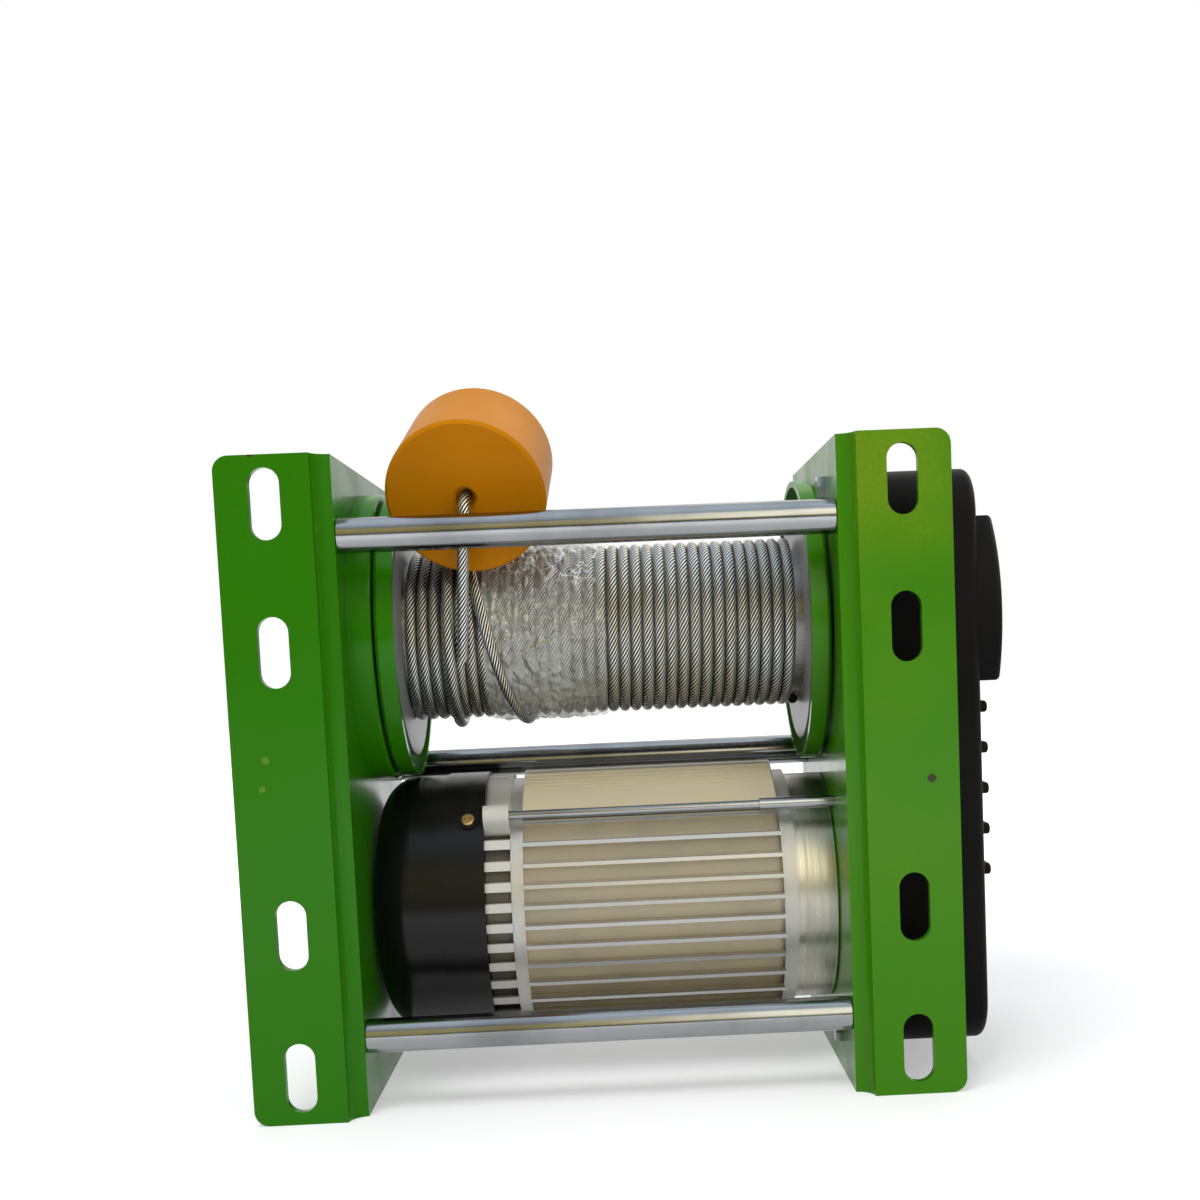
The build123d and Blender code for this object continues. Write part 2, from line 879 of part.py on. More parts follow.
def gear_case():
    plate = extrude(across(web_outer) * case_outline(), case_t)
    plate -= bar(web_outer, case_end, housing_lip_bore / 2, drum_axis)
    plate -= bar(case_end - bearing_25[2], case_end, bearing_25[1] / 2 + bolt_gap, drum_axis)
    plate -= bar(case_end - bearing_15[2], case_end, bearing_15[1] / 2 + bolt_gap, lay_axis)
    plate -= bar(web_outer, case_end, seal_d / 2 + run_gap, motor_axis)
    head_end = web_outer + washer_t + rod_bolt_head_h
    pocket_r = washer_d / 2 + washer_pocket_gap
    plate -= bar(web_outer, head_end + washer_pocket_gap, pocket_r, rod_places[2])
    for angle in bolt_angles:
        place = polar(motor_axis, bolt_circle_r, angle)
        plate -= bar(web_outer, case_end - bolt_hole_end, motor_bolt_d / 2 + bolt_gap, place)
    for place in cover_screw_places():
        plate -= bar(case_end - cover_tap_depth, case_end, cover_screw_d / 2 + bolt_gap, place)
    for place in case_screw_places():
        plate -= bar(web_outer, case_end - case_hole_end, case_screw_d / 2 + bolt_gap, place)
    return plate


def case_gasket():
    frame = extrude(across(case_end) * (case_outline() - case_outline(cover_wall)), gasket_t)
    for place in cover_screw_places():
        frame += bar(case_end, cover_start, cover_column_d / 2, place)
        frame -= bar(case_end, cover_start, cover_screw_d / 2 + bolt_gap, place)
    return frame


def boss_outline(inset=0.0):
    """Raised panel over the drum gear, round at front and rear and flat above and below."""
    radius = drum_depth - cover_front - boss_inset - inset
    height = boss_up + boss_down - 2 * inset
    band = Pos(0, (boss_up - boss_down) / 2) * Rectangle(2 * radius, height)
    return Pos(drum_depth, drum_rise) * (Circle(radius) & band)


def gear_cover():
    body = extrude(across(cover_start) * case_outline(), cover_depth)
    body = fillet(body.faces().sort_by(Axis.X)[-1].edges(), cover_edge_r)
    boss = extrude(across(cover_start + cover_wall) * boss_outline(), boss_face - cover_start - cover_wall)
    boss = fillet(boss.faces().sort_by(Axis.X)[-1].edges(), boss_edge_r)
    cover = body + boss
    for k in range(ridge_count):
        cover += cover_ridge(drum_rise - ridge_first_drop - ridge_pitch * k)
    cover -= extrude(across(cover_start) * case_outline(cover_wall), cover_depth - cover_wall)
    cover -= extrude(across(cover_start) * boss_outline(cover_wall), boss_face - cover_wall - cover_start)
    hub_x = boss_face - cover_wall
    hub_start = hub_x - bearing_20[2] - hub_relief
    cover += bar(hub_start, hub_x, bearing_20[1] / 2 + hub_wall, drum_axis)
    cover -= bar(hub_start, hub_x, bearing_20[1] / 2 + bolt_gap, drum_axis)
    lay_x = cover_face - cover_wall
    cover += bar(lay_x - bearing_15_slim[2], lay_x, bearing_15_slim[1] / 2 + lay_hub_wall, lay_axis)
    cover -= bar(lay_x - bearing_15_slim[2], lay_x, bearing_15_slim[1] / 2 + bolt_gap, lay_axis)
    for place in cover_screw_places():
        cover += bar(cover_start, cover_face - cover_wall, cover_column_d / 2, place)
        cover -= bar(cover_start, cover_face, cover_screw_d / 2 + bolt_gap, place)
        cover -= bar(cover_screw_seat(), cover_face, cover_counterbore * cover_screw_d, place)
    return cover


def cover_ridge(rise):
    """Low rib across the cover's face, with rounded ends."""
    length = cover_rear - cover_front - 2 * ridge_inset
    face = Pos((cover_rear + cover_front) / 2, rise) * SlotOverall(length, ridge_h)
    rib = extrude(across(cover_face - cover_wall / 2) * face, ridge_proud + cover_wall / 2)
    return fillet(rib.faces().sort_by(Axis.X)[-1].edges(), ridge_edge_r)


def cover_screw_seat():
    return cover_face - cover_screw_sink - screw_head_h * cover_screw_d


def cover_screw(place):
    return socket_screw(cover_screw_seat(), case_end - cover_screw_grip, cover_screw_d, place)


def case_screw(place):
    head = hexagon(half_span - case_screw_head_h, half_span, case_screw_af, place)
    return head + bar(half_span, case_end - case_screw_end, case_screw_d / 2, place)


def shaft_seal():
    x1 = case_end - seal_sink
    ring = tube(x1 - seal_t, x1, seal_d / 2, bearing_17[0] / 2 + run_gap, motor_axis)
    groove_r = (seal_d / 2 + bearing_17[0] / 2 + seal_groove_w) / 2
    return ring - tube(x1 - seal_groove_depth, x1, groove_r, groove_r - seal_groove_w, motor_axis)


# Motor

def ribbed_face(core_r, tip_r, rib_t, rows, top_rows):
    """Round body with level ribs front and rear and upright ribs above and below."""
    face = Circle(core_r)
    for k in range(rows):
        offset = (k - (rows - 1) / 2) * fin_pitch
        face += Pos(0, offset) * Rectangle(rib_reach * tip_r, rib_t)
    for k in range(top_rows):
        offset = (k - (top_rows - 1) / 2) * fin_pitch
        face += Pos(offset, 0) * Rectangle(rib_t, rib_reach * tip_r)
    return face & Circle(tip_r)


def wedge(start, end, radius):
    """Triangle from the centre that covers the angles between start and end."""
    reach = radius / cos(radians((end - start) / 2))
    corners = [(reach * cos(radians(a)), reach * sin(radians(a))) for a in (start, end)]
    return make_face(Polyline((0, 0), corners[0], corners[1], close=True))


def padded_face(core_r, tip_r, rib_t):
    """Ribbed body with a flat pad between two angles on its upper front."""
    face = ribbed_face(core_r, tip_r, rib_t, fin_rows, top_fin_rows)
    face -= wedge(pad_start, pad_end, 2 * tip_r)
    half = (pad_end - pad_start) / 2
    return face + wedge(pad_start, pad_end, tip_r * cos(radians(half)))


def motor_housing():
    front = tube(body_start, fins_start, front_ring_r, stator_r, motor_axis)
    fins = extrude(across(fins_start, *motor_axis) * padded_face(fin_root_r, fin_tip_r, fin_t), fins_length)
    fins -= bar(fins_start, fins_end, stator_r, motor_axis)
    rear = tube(fins_end, body_end, rear_ring_r, stator_r, motor_axis)
    return front + fins + rear


def end_bell():
    lip_x = half_span - end_bell_lip
    lip_r = bearing_17[0] / 2 + end_bell_lip
    wall = lip_x - bearing_17[2] - end_bell_floor
    floor_x = half_span - end_bell_wall
    pocket_r = bearing_17[1] / 2 + bolt_gap
    return turned(
        [
            (body_end, end_bell_r),
            (half_span - end_bell_edge, end_bell_r),
            (half_span, end_bell_r - end_bell_edge),
            (half_span, lip_r),
            (lip_x, lip_r),
            (lip_x, pocket_r),
            (wall, pocket_r),
            (wall, pocket_r + end_bell_wall),
            (floor_x, pocket_r + end_bell_wall),
            (floor_x, end_bell_r - end_bell_wall),
            (body_end, end_bell_r - end_bell_wall),
        ],
        motor_axis,
    )


def lug(angle, x0, x1, r0, r1, width):
    """Block standing out from the motor at an angle."""
    face = Pos((r0 + r1) / 2, 0) * Rectangle(r1 - r0, width)
    return extrude(across(x0, *motor_axis) * Rot(0, 0, angle) * face, x1 - x0)


def bolt_lug(angle):
    """Round-ended lug that carries one of the long motor bolts."""
    place = polar(motor_axis, bolt_circle_r, angle)
    foot = lug(angle, shield_start, body_start, stator_r + shield_lug_base, bolt_circle_r, lug_w)
    return foot + bar(shield_start, body_start, lug_w / 2, place)


def shield_disc():
    """Spoked disc of the rear shield, with the bearing hub."""
    rim_r = stator_r + shield_disc_lap
    seat_r = bearing_15[1] / 2
    disc = tube(shield_start, shield_start + shield_disc_t, rim_r, seat_r, motor_axis)
    for k in range(shield_hole_count):
        place = polar(motor_axis, (rim_r + seat_r + shield_hub_wall) / 2, 360 / shield_hole_count * k)
        disc -= bar(shield_start, shield_start + shield_disc_t, shield_hole_r, place)
    hub_end = shield_start + bearing_15[2] + shield_hub_extra
    return disc + tube(shield_start, hub_end, seat_r + shield_hub_wall, seat_r + bolt_gap, motor_axis)


def vent_shield():
    """Rear end shield: a ring with open ribs, a spoked disc, the bearing hub and three lugs."""
    ring_face = padded_face(shield_core_r, shield_tip_r, shield_rib_t) - Circle(stator_r)
    shield = extrude(across(shield_start, *motor_axis) * ring_face, shield_w) + shield_disc()
    base_r = stator_r + shield_lug_base
    spigot_r = cowl_r - cowl_wall - cowl_step - spigot_gap
    for angle in bolt_angles:
        place = polar(motor_axis, bolt_circle_r, angle)
        shield += bolt_lug(angle)
        shield += lug(angle, shield_start - spigot_len, shield_start, base_r, spigot_r, lug_w)
        shield -= bar(shield_start, body_start, motor_bolt_d / 2 + bolt_gap, place)
        shield -= bar(shield_start, shield_start + bolt_head_sink, bolt_head_r + bolt_head_gap, place)
        shield -= radial_bar(angle, cowl_screw_x(), base_r, cowl_r, cowl_screw_d / 2 + bolt_gap)
    return shield


def radial_bar(angle, x, r0, r1, radius):
    """Round bar pointing away from the motor axis."""
    direction = (0, cos(radians(angle)), sin(radians(angle)))
    start = (x, *polar(motor_axis, r0, angle))
    return extrude(slanted(start, direction) * Circle(radius), r1 - r0)


def cowl_screw_x():
    return shield_start - cowl_screw_back


def motor_bolt(angle):
    place = polar(motor_axis, bolt_circle_r, angle)
    seat = shield_start + bolt_head_sink
    top = seat - bolt_head_h
    head = bar(top, seat, bolt_head_r, place)
    head -= hexagon(top, top + bolt_socket_depth, bolt_socket_af, place)
    return head + bar(seat, case_end - bolt_end, motor_bolt_d / 2, place)


def bolt_sleeve(angle):
    place = polar(motor_axis, bolt_circle_r, angle)
    return tube(half_span - bolt_sleeve_len, half_span, bolt_sleeve_d / 2, motor_bolt_d / 2 + run_gap, place)


def stator_core():
    return tube(stator_start, stator_end, stator_r - run_gap, stator_bore_r, motor_axis)


def end_winding(x0, x1):
    low = stator_bore_r + winding_gap
    high = stator_r - winding_inset
    soft = winding_soft
    return turned(
        [
            (x0, low + soft),
            (x0 + soft, low),
            (x1 - soft, low),
            (x1, low + soft),
            (x1, high - soft),
            (x1 - soft, high),
            (x0 + soft, high),
            (x0, high - soft),
        ],
        motor_axis,
    )


def rotor_core():
    """Laminated core with a short-circuit ring on each end."""
    r = stator_bore_r - air_gap
    ring_r = r - end_ring_drop
    left = stator_start - end_ring_w
    right = stator_end + end_ring_w
    bore = rotor_shaft_r + run_gap
    ring_bore = bore + end_ring_bore
    return turned(
        [
            (left, ring_bore),
            (left, ring_r),
            (stator_start, ring_r),
            (stator_start, r),
            (stator_end, r),
            (stator_end, ring_r),
            (right, ring_r),
            (right, ring_bore),
            (stator_end, ring_bore),
            (stator_end, bore),
            (stator_start, bore),
            (stator_start, ring_bore),
        ],
        motor_axis,
    )


def rotor_shaft():
    fan_end = cowl_end + fan_shaft_gap
    rear_journal = shield_start + bearing_15[2] + rear_journal_gap
    drive_step = half_span - end_bell_lip - bearing_17[2] - shaft_end_gap
    pinion_seat = case_end + shaft_step_gap
    nut_start = stage1_end + pinion_overhang + pinion_nut_gap / 2
    thread_r = pinion_shaft_d / 2 - pinion_thread_step
    tip = nut_start + pinion_nut_t + pinion_thread_step
    return turned(
        [
            (fan_end, 0),
            (fan_end, fan_shaft_d / 2),
            (rear_journal, fan_shaft_d / 2),
            (rear_journal, rotor_shaft_r),
            (drive_step, rotor_shaft_r),
            (drive_step, bearing_17[0] / 2),
            (pinion_seat, bearing_17[0] / 2),
            (pinion_seat, pinion_shaft_d / 2),
            (nut_start, pinion_shaft_d / 2),
            (nut_start, thread_r),
            (tip, thread_r),
            (tip, 0),
        ],
        motor_axis,
    )


# Brake, fan and cowl

def magnet_start():
    return shield_start - magnet_gap - magnet_len


def armature_start():
    return magnet_start() - armature_travel - armature_rest_gap - armature_t


def disc_start():
    return armature_start() - brake_clearance - brake_disc_t


def plate_start():
    return disc_start() - brake_clearance - pressure_plate_t


def brake_magnet():
    x0 = magnet_start()
    pot = tube(x0, x0 + magnet_len, brake_r, fan_shaft_d / 2 + magnet_bore_gap, motor_axis)
    coil_r = brake_r - coil_outer_wall
    return pot - tube(x0, x0 + coil_depth, coil_r, coil_r - coil_w, motor_axis)


def brake_armature():
    x0 = armature_start()
    return tube(x0, x0 + armature_t, brake_r, fan_shaft_d / 2 + armature_bore_gap, motor_axis)


def brake_disc():
    x0 = disc_start()
    disc_r = brake_r - brake_disc_edge
    disc = tube(x0, x0 + brake_disc_t, disc_r, fan_shaft_d / 2 + run_gap, motor_axis)
    return disc - tube(x0, x0 + disc_relief, disc_r - lining_w, fan_shaft_d / 2 + disc_hub_wall, motor_axis)


def pressure_plate():
    """Fixed brake plate held off the magnet by three posts."""
    x0 = plate_start()
    bore_r = fan_shaft_d / 2 + pressure_plate_bore_gap
    plate = tube(x0, x0 + pressure_plate_t, brake_r + pressure_plate_rim, bore_r, motor_axis)
    for k in range(post_count):
        place = polar(motor_axis, brake_r + post_place, 90 + 360 / post_count * k)
        plate += bar(x0 + post_lap, shield_start - post_gap, post_r, place)
    return plate


def cooling_fan():
    x1 = plate_start() - fan_gap
    x0 = x1 - fan_len
    root = fan_hub_r - fan_blade_t / 2
    fan = tube(x0, x1, fan_hub_r, fan_shaft_d / 2 + run_gap, motor_axis)
    fan += tube(x1 - fan_disc_t, x1, fan_r, root, motor_axis)
    blade = Pos((fan_r + root) / 2, 0) * Rectangle(fan_r - root, fan_blade_t)
    for k in range(fan_blades):
        turn = Rot(0, 0, 360 * k / fan_blades)
        fan += extrude(across(x0, *motor_axis) * turn * blade, fan_len - fan_blade_short)
    return fan


def fan_cowl():
    """Plastic cowl with a stepped band, a domed end and air slots round its end face."""
    first = shield_start - cowl_first_band
    second = first - cowl_second_band
    r1 = cowl_r
    r2 = cowl_r - cowl_step
    inner_r = cowl_r - cowl_step - cowl_wall
    span = second - cowl_end
    bulge = (second - 0.68 * span, r2 - 0.27 * (r2 - cowl_end_r))
    inner_end = cowl_end + cowl_wall
    inner_bulge = (second - 0.66 * (second - inner_end), inner_r - 0.3 * (inner_r - cowl_end_r))
    edges = [
        Line((shield_start, inner_r), (shield_start, r1)),
        Line((shield_start, r1), (first, r1)),
        Line((first, r1), (first, r2)),
        Line((first, r2), (second, r2)),
        ThreePointArc((second, r2), bulge, (cowl_end, cowl_end_r)),
        Line((cowl_end, cowl_end_r), (cowl_end, 0)),
        Line((cowl_end, 0), (inner_end, 0)),
        Line((inner_end, 0), (inner_end, cowl_end_r)),
        ThreePointArc((inner_end, cowl_end_r), inner_bulge, (second, inner_r)),
        Line((second, inner_r), (shield_start, inner_r)),
    ]
    cowl = Pos(0, *motor_axis) * revolve(make_face(Curve() + edges), Axis.X)
    slot = Pos(inlet_place_r, 0) * SlotOverall(inlet_len, inlet_w)
    for k in range(inlet_count):
        turn = Rot(0, 0, 360 * k / inlet_count)
        cowl -= extrude(across(cowl_end, *motor_axis) * turn * slot, cowl_wall)
    top = cowl_r + cowl_boss_rise
    for angle in bolt_angles:
        cowl += radial_bar(angle, cowl_screw_x(), inner_r + cowl_boss_lap, top, cowl_boss_r)
        cowl -= radial_bar(angle, cowl_screw_x(), inner_r - cowl_wall / 2, top, cowl_screw_d / 2 + bolt_gap)
    return cowl


def cowl_screw(angle):
    """Cross-head screw, pointing at the motor axis."""
    x = cowl_screw_x()
    seat = cowl_r + cowl_boss_rise
    top_r = seat + cowl_screw_head_h
    head = radial_bar(angle, x, seat, top_r, cowl_screw_head_r)
    direction = (0, cos(radians(angle)), sin(radians(angle)))
    crown = Axis(origin=(x, *motor_axis), direction=direction)
    head = fillet(head.edges().sort_by(crown)[-1], cowl_screw_head_edge)
    cross_centre = (x, *polar(motor_axis, top_r - cowl_screw_cross_depth, angle))
    cross_plane = Plane(origin=cross_centre, x_dir=(1, 0, 0), z_dir=direction)
    stroke = Rectangle(cowl_screw_cross_l, cowl_screw_cross_w)
    head -= extrude(cross_plane * (stroke + Rot(0, 0, 90) * stroke), cowl_screw_head_h)
    return head + radial_bar(angle, x, stator_r + cowl_screw_foot, seat, cowl_screw_d / 2)


# Rope tail, weight, eye and hook

def unit(tilt, yaw):
    """Direction that rises by tilt and turns to the right by yaw, from straight back."""
    flat = cos(radians(tilt))
    return Vector(sin(radians(yaw)) * flat, cos(radians(yaw)) * flat, sin(radians(tilt)))


weight_dir = unit(weight_tilt, weight_yaw)
eye_dir = unit(eye_tilt, eye_yaw)
eye_side = Vector(cos(radians(eye_yaw)), -sin(radians(eye_yaw)), 0)
eye_level = Vector(sin(radians(eye_yaw)), cos(radians(eye_yaw)), 0)
hook_down = eye_level * sin(radians(hook_lean)) - Vector(0, 0, 1) * cos(radians(hook_lean))
weight_mouth = Vector(*weight_front)
tail_bend = weight_mouth - weight_dir * tail_bend_out
tail_turn = weight_mouth + weight_dir * (weight_len + tail_bend_in)
tail_end = tail_turn + eye_dir * tail_end_run
ferrule_end = tail_end + eye_dir * ferrule_len
eye_centre = ferrule_end + eye_dir * eye_length
eye_rope_r = thimble_bore_r + thimble_wall + rope_d / 2 + run_gap
eye_strand = eye_strand_share * rope_d


def tail_start():
    """Point where the tail leaves the second layer, beside the turn below it."""
    reach = second_layer_r + tail_turn_gap
    y, z = polar(drum_axis, reach, tail_start_angle)
    return Vector(second_turn_x() + rope_d + tail_turn_gap, y, z)


def tail_route():
    return [tail_start(), tail_bend, tail_turn, tail_end]


def corner_radii(points):
    """Largest arc for each corner of a route, as a share of its shorter run."""
    radii = []
    for before, here, after in zip(points, points[1:], points[2:]):
        turn = radians((here - before).get_angle(after - here))
        shorter = min((here - before).length, (after - here).length)
        radii.append(tail_run_share * shorter / tan(turn / 2))
    return radii


def rope_tail():
    points = tail_route()
    radii = corner_radii(points)
    radii[0] = min(radii[0], tail_bend_share * tail_bend_out)
    path = FilletPolyline(*points, radius=radii)
    return sweep(slanted(path @ 0, path % 0) * Circle(rope_d / 2), path=path)


def limit_weight():
    """Weight that slides on the rope, slightly smaller at its rear, with a close guide in its bore."""
    guide_r = rope_d / 2 + run_gap
    base = Plane(origin=weight_mouth, z_dir=weight_dir)
    profile = Polyline(
        (weight_bore_r + weight_edge_r, 0, 0),
        (weight_r - weight_edge_r, 0, 0),
        (weight_r, 0, weight_edge_r),
        (weight_tail_r, 0, weight_len - 2 * weight_edge_r),
        (weight_tail_r - 2 * weight_edge_r, 0, weight_len),
        (weight_bore_r + weight_edge_r, 0, weight_len),
        (weight_bore_r, 0, weight_len - weight_edge_r),
        (weight_bore_r, 0, weight_guide_end),
        (guide_r, 0, weight_guide_end),
        (guide_r, 0, weight_guide_start),
        (weight_bore_r, 0, weight_guide_start),
        (weight_bore_r, 0, weight_edge_r),
        close=True,
    )
    return base * revolve(make_face(profile), Axis.Z)


def eye_plane(at):
    """Plane of the rope eye: local x along the rope, local y upwards."""
    return Plane(origin=at, x_dir=eye_dir, z_dir=eye_dir.cross(Vector(0, 0, 1)).normalized())


def eye_loop_tangent():
    """Point where a strand meets the round end of the eye, in the eye's plane."""
    reach = hypot(eye_length, eye_strand)
    rise = asin(eye_rope_r / reach) + atan2(-eye_strand, eye_length)
    return (eye_length - eye_rope_r * sin(rise), eye_rope_r * cos(rise))


def rope_eye():
    """Loop of rope round the thimble, both strands ending in the ferrule."""
    tx, ty = eye_loop_tangent()
    slope = (ty - eye_strand) / tx
    start = rope_d / 2 * slope + run_gap
    foot = eye_strand + start * slope
    path = (
        Line((start, foot), (tx, ty))
        + ThreePointArc((tx, ty), (eye_length + eye_rope_r, 0), (tx, -ty))
        + Line((tx, -ty), (start, -foot))
    )
    wire = eye_plane(ferrule_end) * path
    return sweep(slanted(wire @ 0, wire % 0) * Circle(rope_d / 2), path=wire)


def teardrop(radius, tip_x):
    """Round end of the eye drawn out to a narrow tip towards the ferrule."""
    tip = Pos(tip_x, 0) * Circle(thimble_tip_r)
    return make_hull((Pos(eye_length, 0) * Circle(radius)).edges() + tip.edges())


def rope_thimble():
    """Thimble: a band inside the eye with a lip on each side of the rope."""
    plane = eye_plane(ferrule_end)
    width = rope_d + 2 * thimble_side_gap
    bore = teardrop(thimble_bore_r, thimble_bore_tip)
    band = teardrop(thimble_bore_r + thimble_wall, thimble_band_tip) - bore
    lip = teardrop(thimble_bore_r + thimble_wall + thimble_lip_rise, thimble_lip_tip) - bore
    shell = extrude(plane * band, width / 2, both=True)
    for side in (-1, 1):
        offset = side * (width / 2 + thimble_lip / 2)
        shell += extrude(plane * Pos(0, 0, offset) * lip, thimble_lip / 2, both=True)
    return shell


def rope_ferrule():
    """Oval ferrule pressed round the rope and the end of its eye."""
    plane = Plane(origin=tail_end, x_dir=eye_plane(tail_end).y_dir, z_dir=eye_dir)
    height = 2 * rope_d + 2 * ferrule_wall
    width = rope_d + 2 * ferrule_wall
    body = extrude(plane * SlotOverall(height, width), ferrule_len)
    along = Axis(origin=tail_end, direction=eye_dir)
    ends = body.faces().sort_by(along)
    return fillet(ends[0].edges() + ends[-1].edges(), ferrule_edge_r)


def hook_plane():
    """Plane of the hook: origin at its eye, local x across, local y up its shank."""
    origin = eye_centre + hook_down * hook_eye_offset
    return Plane(origin=origin, x_dir=eye_side, z_dir=eye_side.cross(hook_down * -1))


def hook_body_face():
    """Shank, bowl and tip of the hook."""
    drop = -hook_drop
    bowl = hook_bowl_r
    back = hook_back_r
    top = -hook_eye_r - 0.4 * hook_bar
    neck = top - hook_neck
    inner = (-bowl, drop + 0.17 * bowl)
    tip = (1.4 * bowl, drop + 0.95 * bowl)
    crown = (tip[0] + 0.6 * hook_tip_w, tip[1] + 0.27 * hook_tip_w)
    tip_back = (tip[0] + hook_tip_w, tip[1] - 0.36 * hook_tip_w)
    belly = (0.97 * back, drop - 0.24 * back)
    shoulder = (-0.9 * back, drop + 0.55 * back)
    edges = [
        Line((0.55 * hook_bar, top), (0.45 * hook_bar, neck)),
        Line((0.45 * hook_bar, neck), inner),
        ThreePointArc(inner, (0, drop - bowl), (bowl, drop)),
        Line((bowl, drop), tip),
        ThreePointArc(tip, crown, tip_back),
        Line(tip_back, belly),
        ThreePointArc(belly, (0, drop - back), (-back, drop)),
        Line((-back, drop), shoulder),
        Line(shoulder, (-0.75 * hook_bar, neck)),
        Line((-0.75 * hook_bar, neck), (-0.55 * hook_bar, top)),
        Line((-0.55 * hook_bar, top), (0.55 * hook_bar, top)),
    ]
    return make_face(Curve() + edges)


def load_hook():
    """Forged eye hook with a round eye, a shank swept to one side and a rounded bowl."""
    body = extrude(hook_body_face(), hook_plate_t / 2, both=True)
    body += Torus(hook_eye_r + hook_bar / 2, hook_bar / 2)
    body -= Pos(*latch_pivot) * Cylinder(latch_pin_d / 2 + bolt_gap, 2 * hook_bar)
    return hook_plane() * body


def hook_latch():
    """Sprung latch: a cheek on each side of the shank and a tongue across the mouth."""
    half = hook_plate_t / 2 + run_gap
    far_end = Pos(0.8 * latch_len, 0) * Circle(latch_tip_r)
    cheek = make_hull(Circle(latch_pin_d / 2 + latch_cheek_wall).edges() + far_end.edges())
    cheek -= Circle(latch_pin_d / 2 + run_gap)
    latch = extrude(Pos(0, 0, half) * cheek, latch_t)
    latch += extrude(Pos(0, 0, -half) * cheek, -latch_t)
    start = 0.42 * latch_len
    tongue = Box(latch_len - start, latch_tongue_t, 2 * (half + latch_t))
    tongue = Pos((start + latch_len) / 2, 0, 0) * tongue
    return hook_plane() * Pos(*latch_pivot) * Rot(0, 0, -latch_angle) * (latch + tongue)


def latch_pin():
    reach = hook_plate_t / 2 + run_gap + latch_t + pin_head_proud
    return hook_plane() * Pos(*latch_pivot) * Cylinder(latch_pin_d / 2, 2 * reach)


for_export = {}


def keep(name, shape):
    for_export[name] = shape


def group(shapes):
    return Compound(shapes)


def build_all():
    keep("left_side_plate", left_side_plate())
    keep("right_side_plate", right_side_plate())
    for name, place in zip(("upper_tie_rod", "lower_tie_rod", "rear_tie_rod"), rod_places):
        keep(name, tie_rod(place))
    keep("tie_rod_bolts", group([end_bolt(side, place) for side in (-1, 1) for place in rod_places]))
    keep("tie_rod_washers", group([end_washer(side, place) for side in (-1, 1) for place in rod_places]))
    keep("left_bearing_housing", left_bearing_housing())
    left_seat = housing_face - housing_lip_t - bearing_25[2]
    left_bearing = bearing(left_seat, bearing_25, drum_axis)
    right_bearing = bearing(case_end - bearing_25[2], bearing_25, drum_axis)
    outer_bearing = bearing(boss_face - cover_wall - bearing_20[2], bearing_20, drum_axis)
    keep("drum_bearings", group([left_bearing, right_bearing, outer_bearing]))
    keep("bearing_cap", bearing_cap())
    keep("bearing_cap_screws", group([cap_screw(place) for place in cap_screw_places()]))
    keep("drum_shaft", drum_shaft())
    keep("drum_barrel", drum_barrel())
    keep("left_drum_flange", drum_flange(left_rim_out, 1))
    keep("right_drum_flange", drum_flange(right_rim_out, -1))
    keep("left_rope_cheek", rope_cheek(left_rim_out + flange_disc_t, bay_start))
    keep("right_rope_cheek", rope_cheek(right_rim_out - flange_disc_t, bay_end))
    keep("rope_winding", rope_winding())
    keep("protective_film", protective_film())
    keep("drum_gear", drum_gear())
    keep("drum_gear_key", drum_gear_key())
    keep("drum_gear_spacer", drum_gear_spacer())
    keep("drum_gear_nut", drum_gear_nut())
    keep("lay_shaft", lay_shaft())
    keep("lay_gear", lay_gear())
    keep("lay_gear_key", lay_gear_key())
    inner_bearing = bearing(case_end - bearing_15[2], bearing_15, lay_axis)
    lay_x = cover_face - cover_wall - bearing_15_slim[2]
    keep("lay_bearings", group([inner_bearing, bearing(lay_x, bearing_15_slim, lay_axis)]))
    keep("motor_pinion", motor_pinion())
    keep("pinion_nut", pinion_nut())
    keep("gear_case", gear_case())
    keep("case_gasket", case_gasket())
    keep("gear_cover", gear_cover())
    keep("cover_screws", group([cover_screw(place) for place in cover_screw_places()]))
    keep("case_screws", group([case_screw(place) for place in case_screw_places()]))
    keep("shaft_seal", shaft_seal())
    keep("motor_housing", motor_housing())
    keep("end_bell", end_bell())
    keep("vent_shield", vent_shield())
    sleeves = [bolt_sleeve(angle) for angle in bolt_angles]
    keep("motor_bolts", group([motor_bolt(angle) for angle in bolt_angles] + sleeves))
    keep("stator_core", stator_core())
    rear_winding = end_winding(stator_start - winding_len, stator_start)
    drive_winding = end_winding(stator_end, stator_end + winding_len)
    keep("stator_windings", group([rear_winding, drive_winding]))
    keep("rotor_core", rotor_core())
    keep("rotor_shaft", rotor_shaft())
    drive_bearing = bearing(half_span - end_bell_lip - bearing_17[2], bearing_17, motor_axis)
    keep("rotor_bearings", group([drive_bearing, bearing(shield_start, bearing_15, motor_axis)]))
    keep("brake_magnet", brake_magnet())
    keep("brake_armature", brake_armature())
    keep("brake_disc", brake_disc())
    keep("pressure_plate", pressure_plate())
    keep("cooling_fan", cooling_fan())
    keep("fan_cowl", fan_cowl())
    keep("cowl_screws", group([cowl_screw(angle) for angle in bolt_angles]))
    keep("rope_tail", rope_tail())
    keep("limit_weight", limit_weight())
    keep("rope_ferrule", rope_ferrule())
    keep("rope_eye", rope_eye())
    keep("rope_thimble", rope_thimble())
    keep("load_hook", load_hook())
    keep("hook_latch", hook_latch())
    keep("latch_pin", latch_pin())


if __name__ == "__main__":
    build_all()
    os.makedirs("parts", exist_ok=True)
    shift = Pos((half_span + flange_reach - boss_face) / 2, -web_depth / 2, plate_height / 2)
    for name, shape in for_export.items():
        export_step(shift * shape, f"parts/{name}.step")
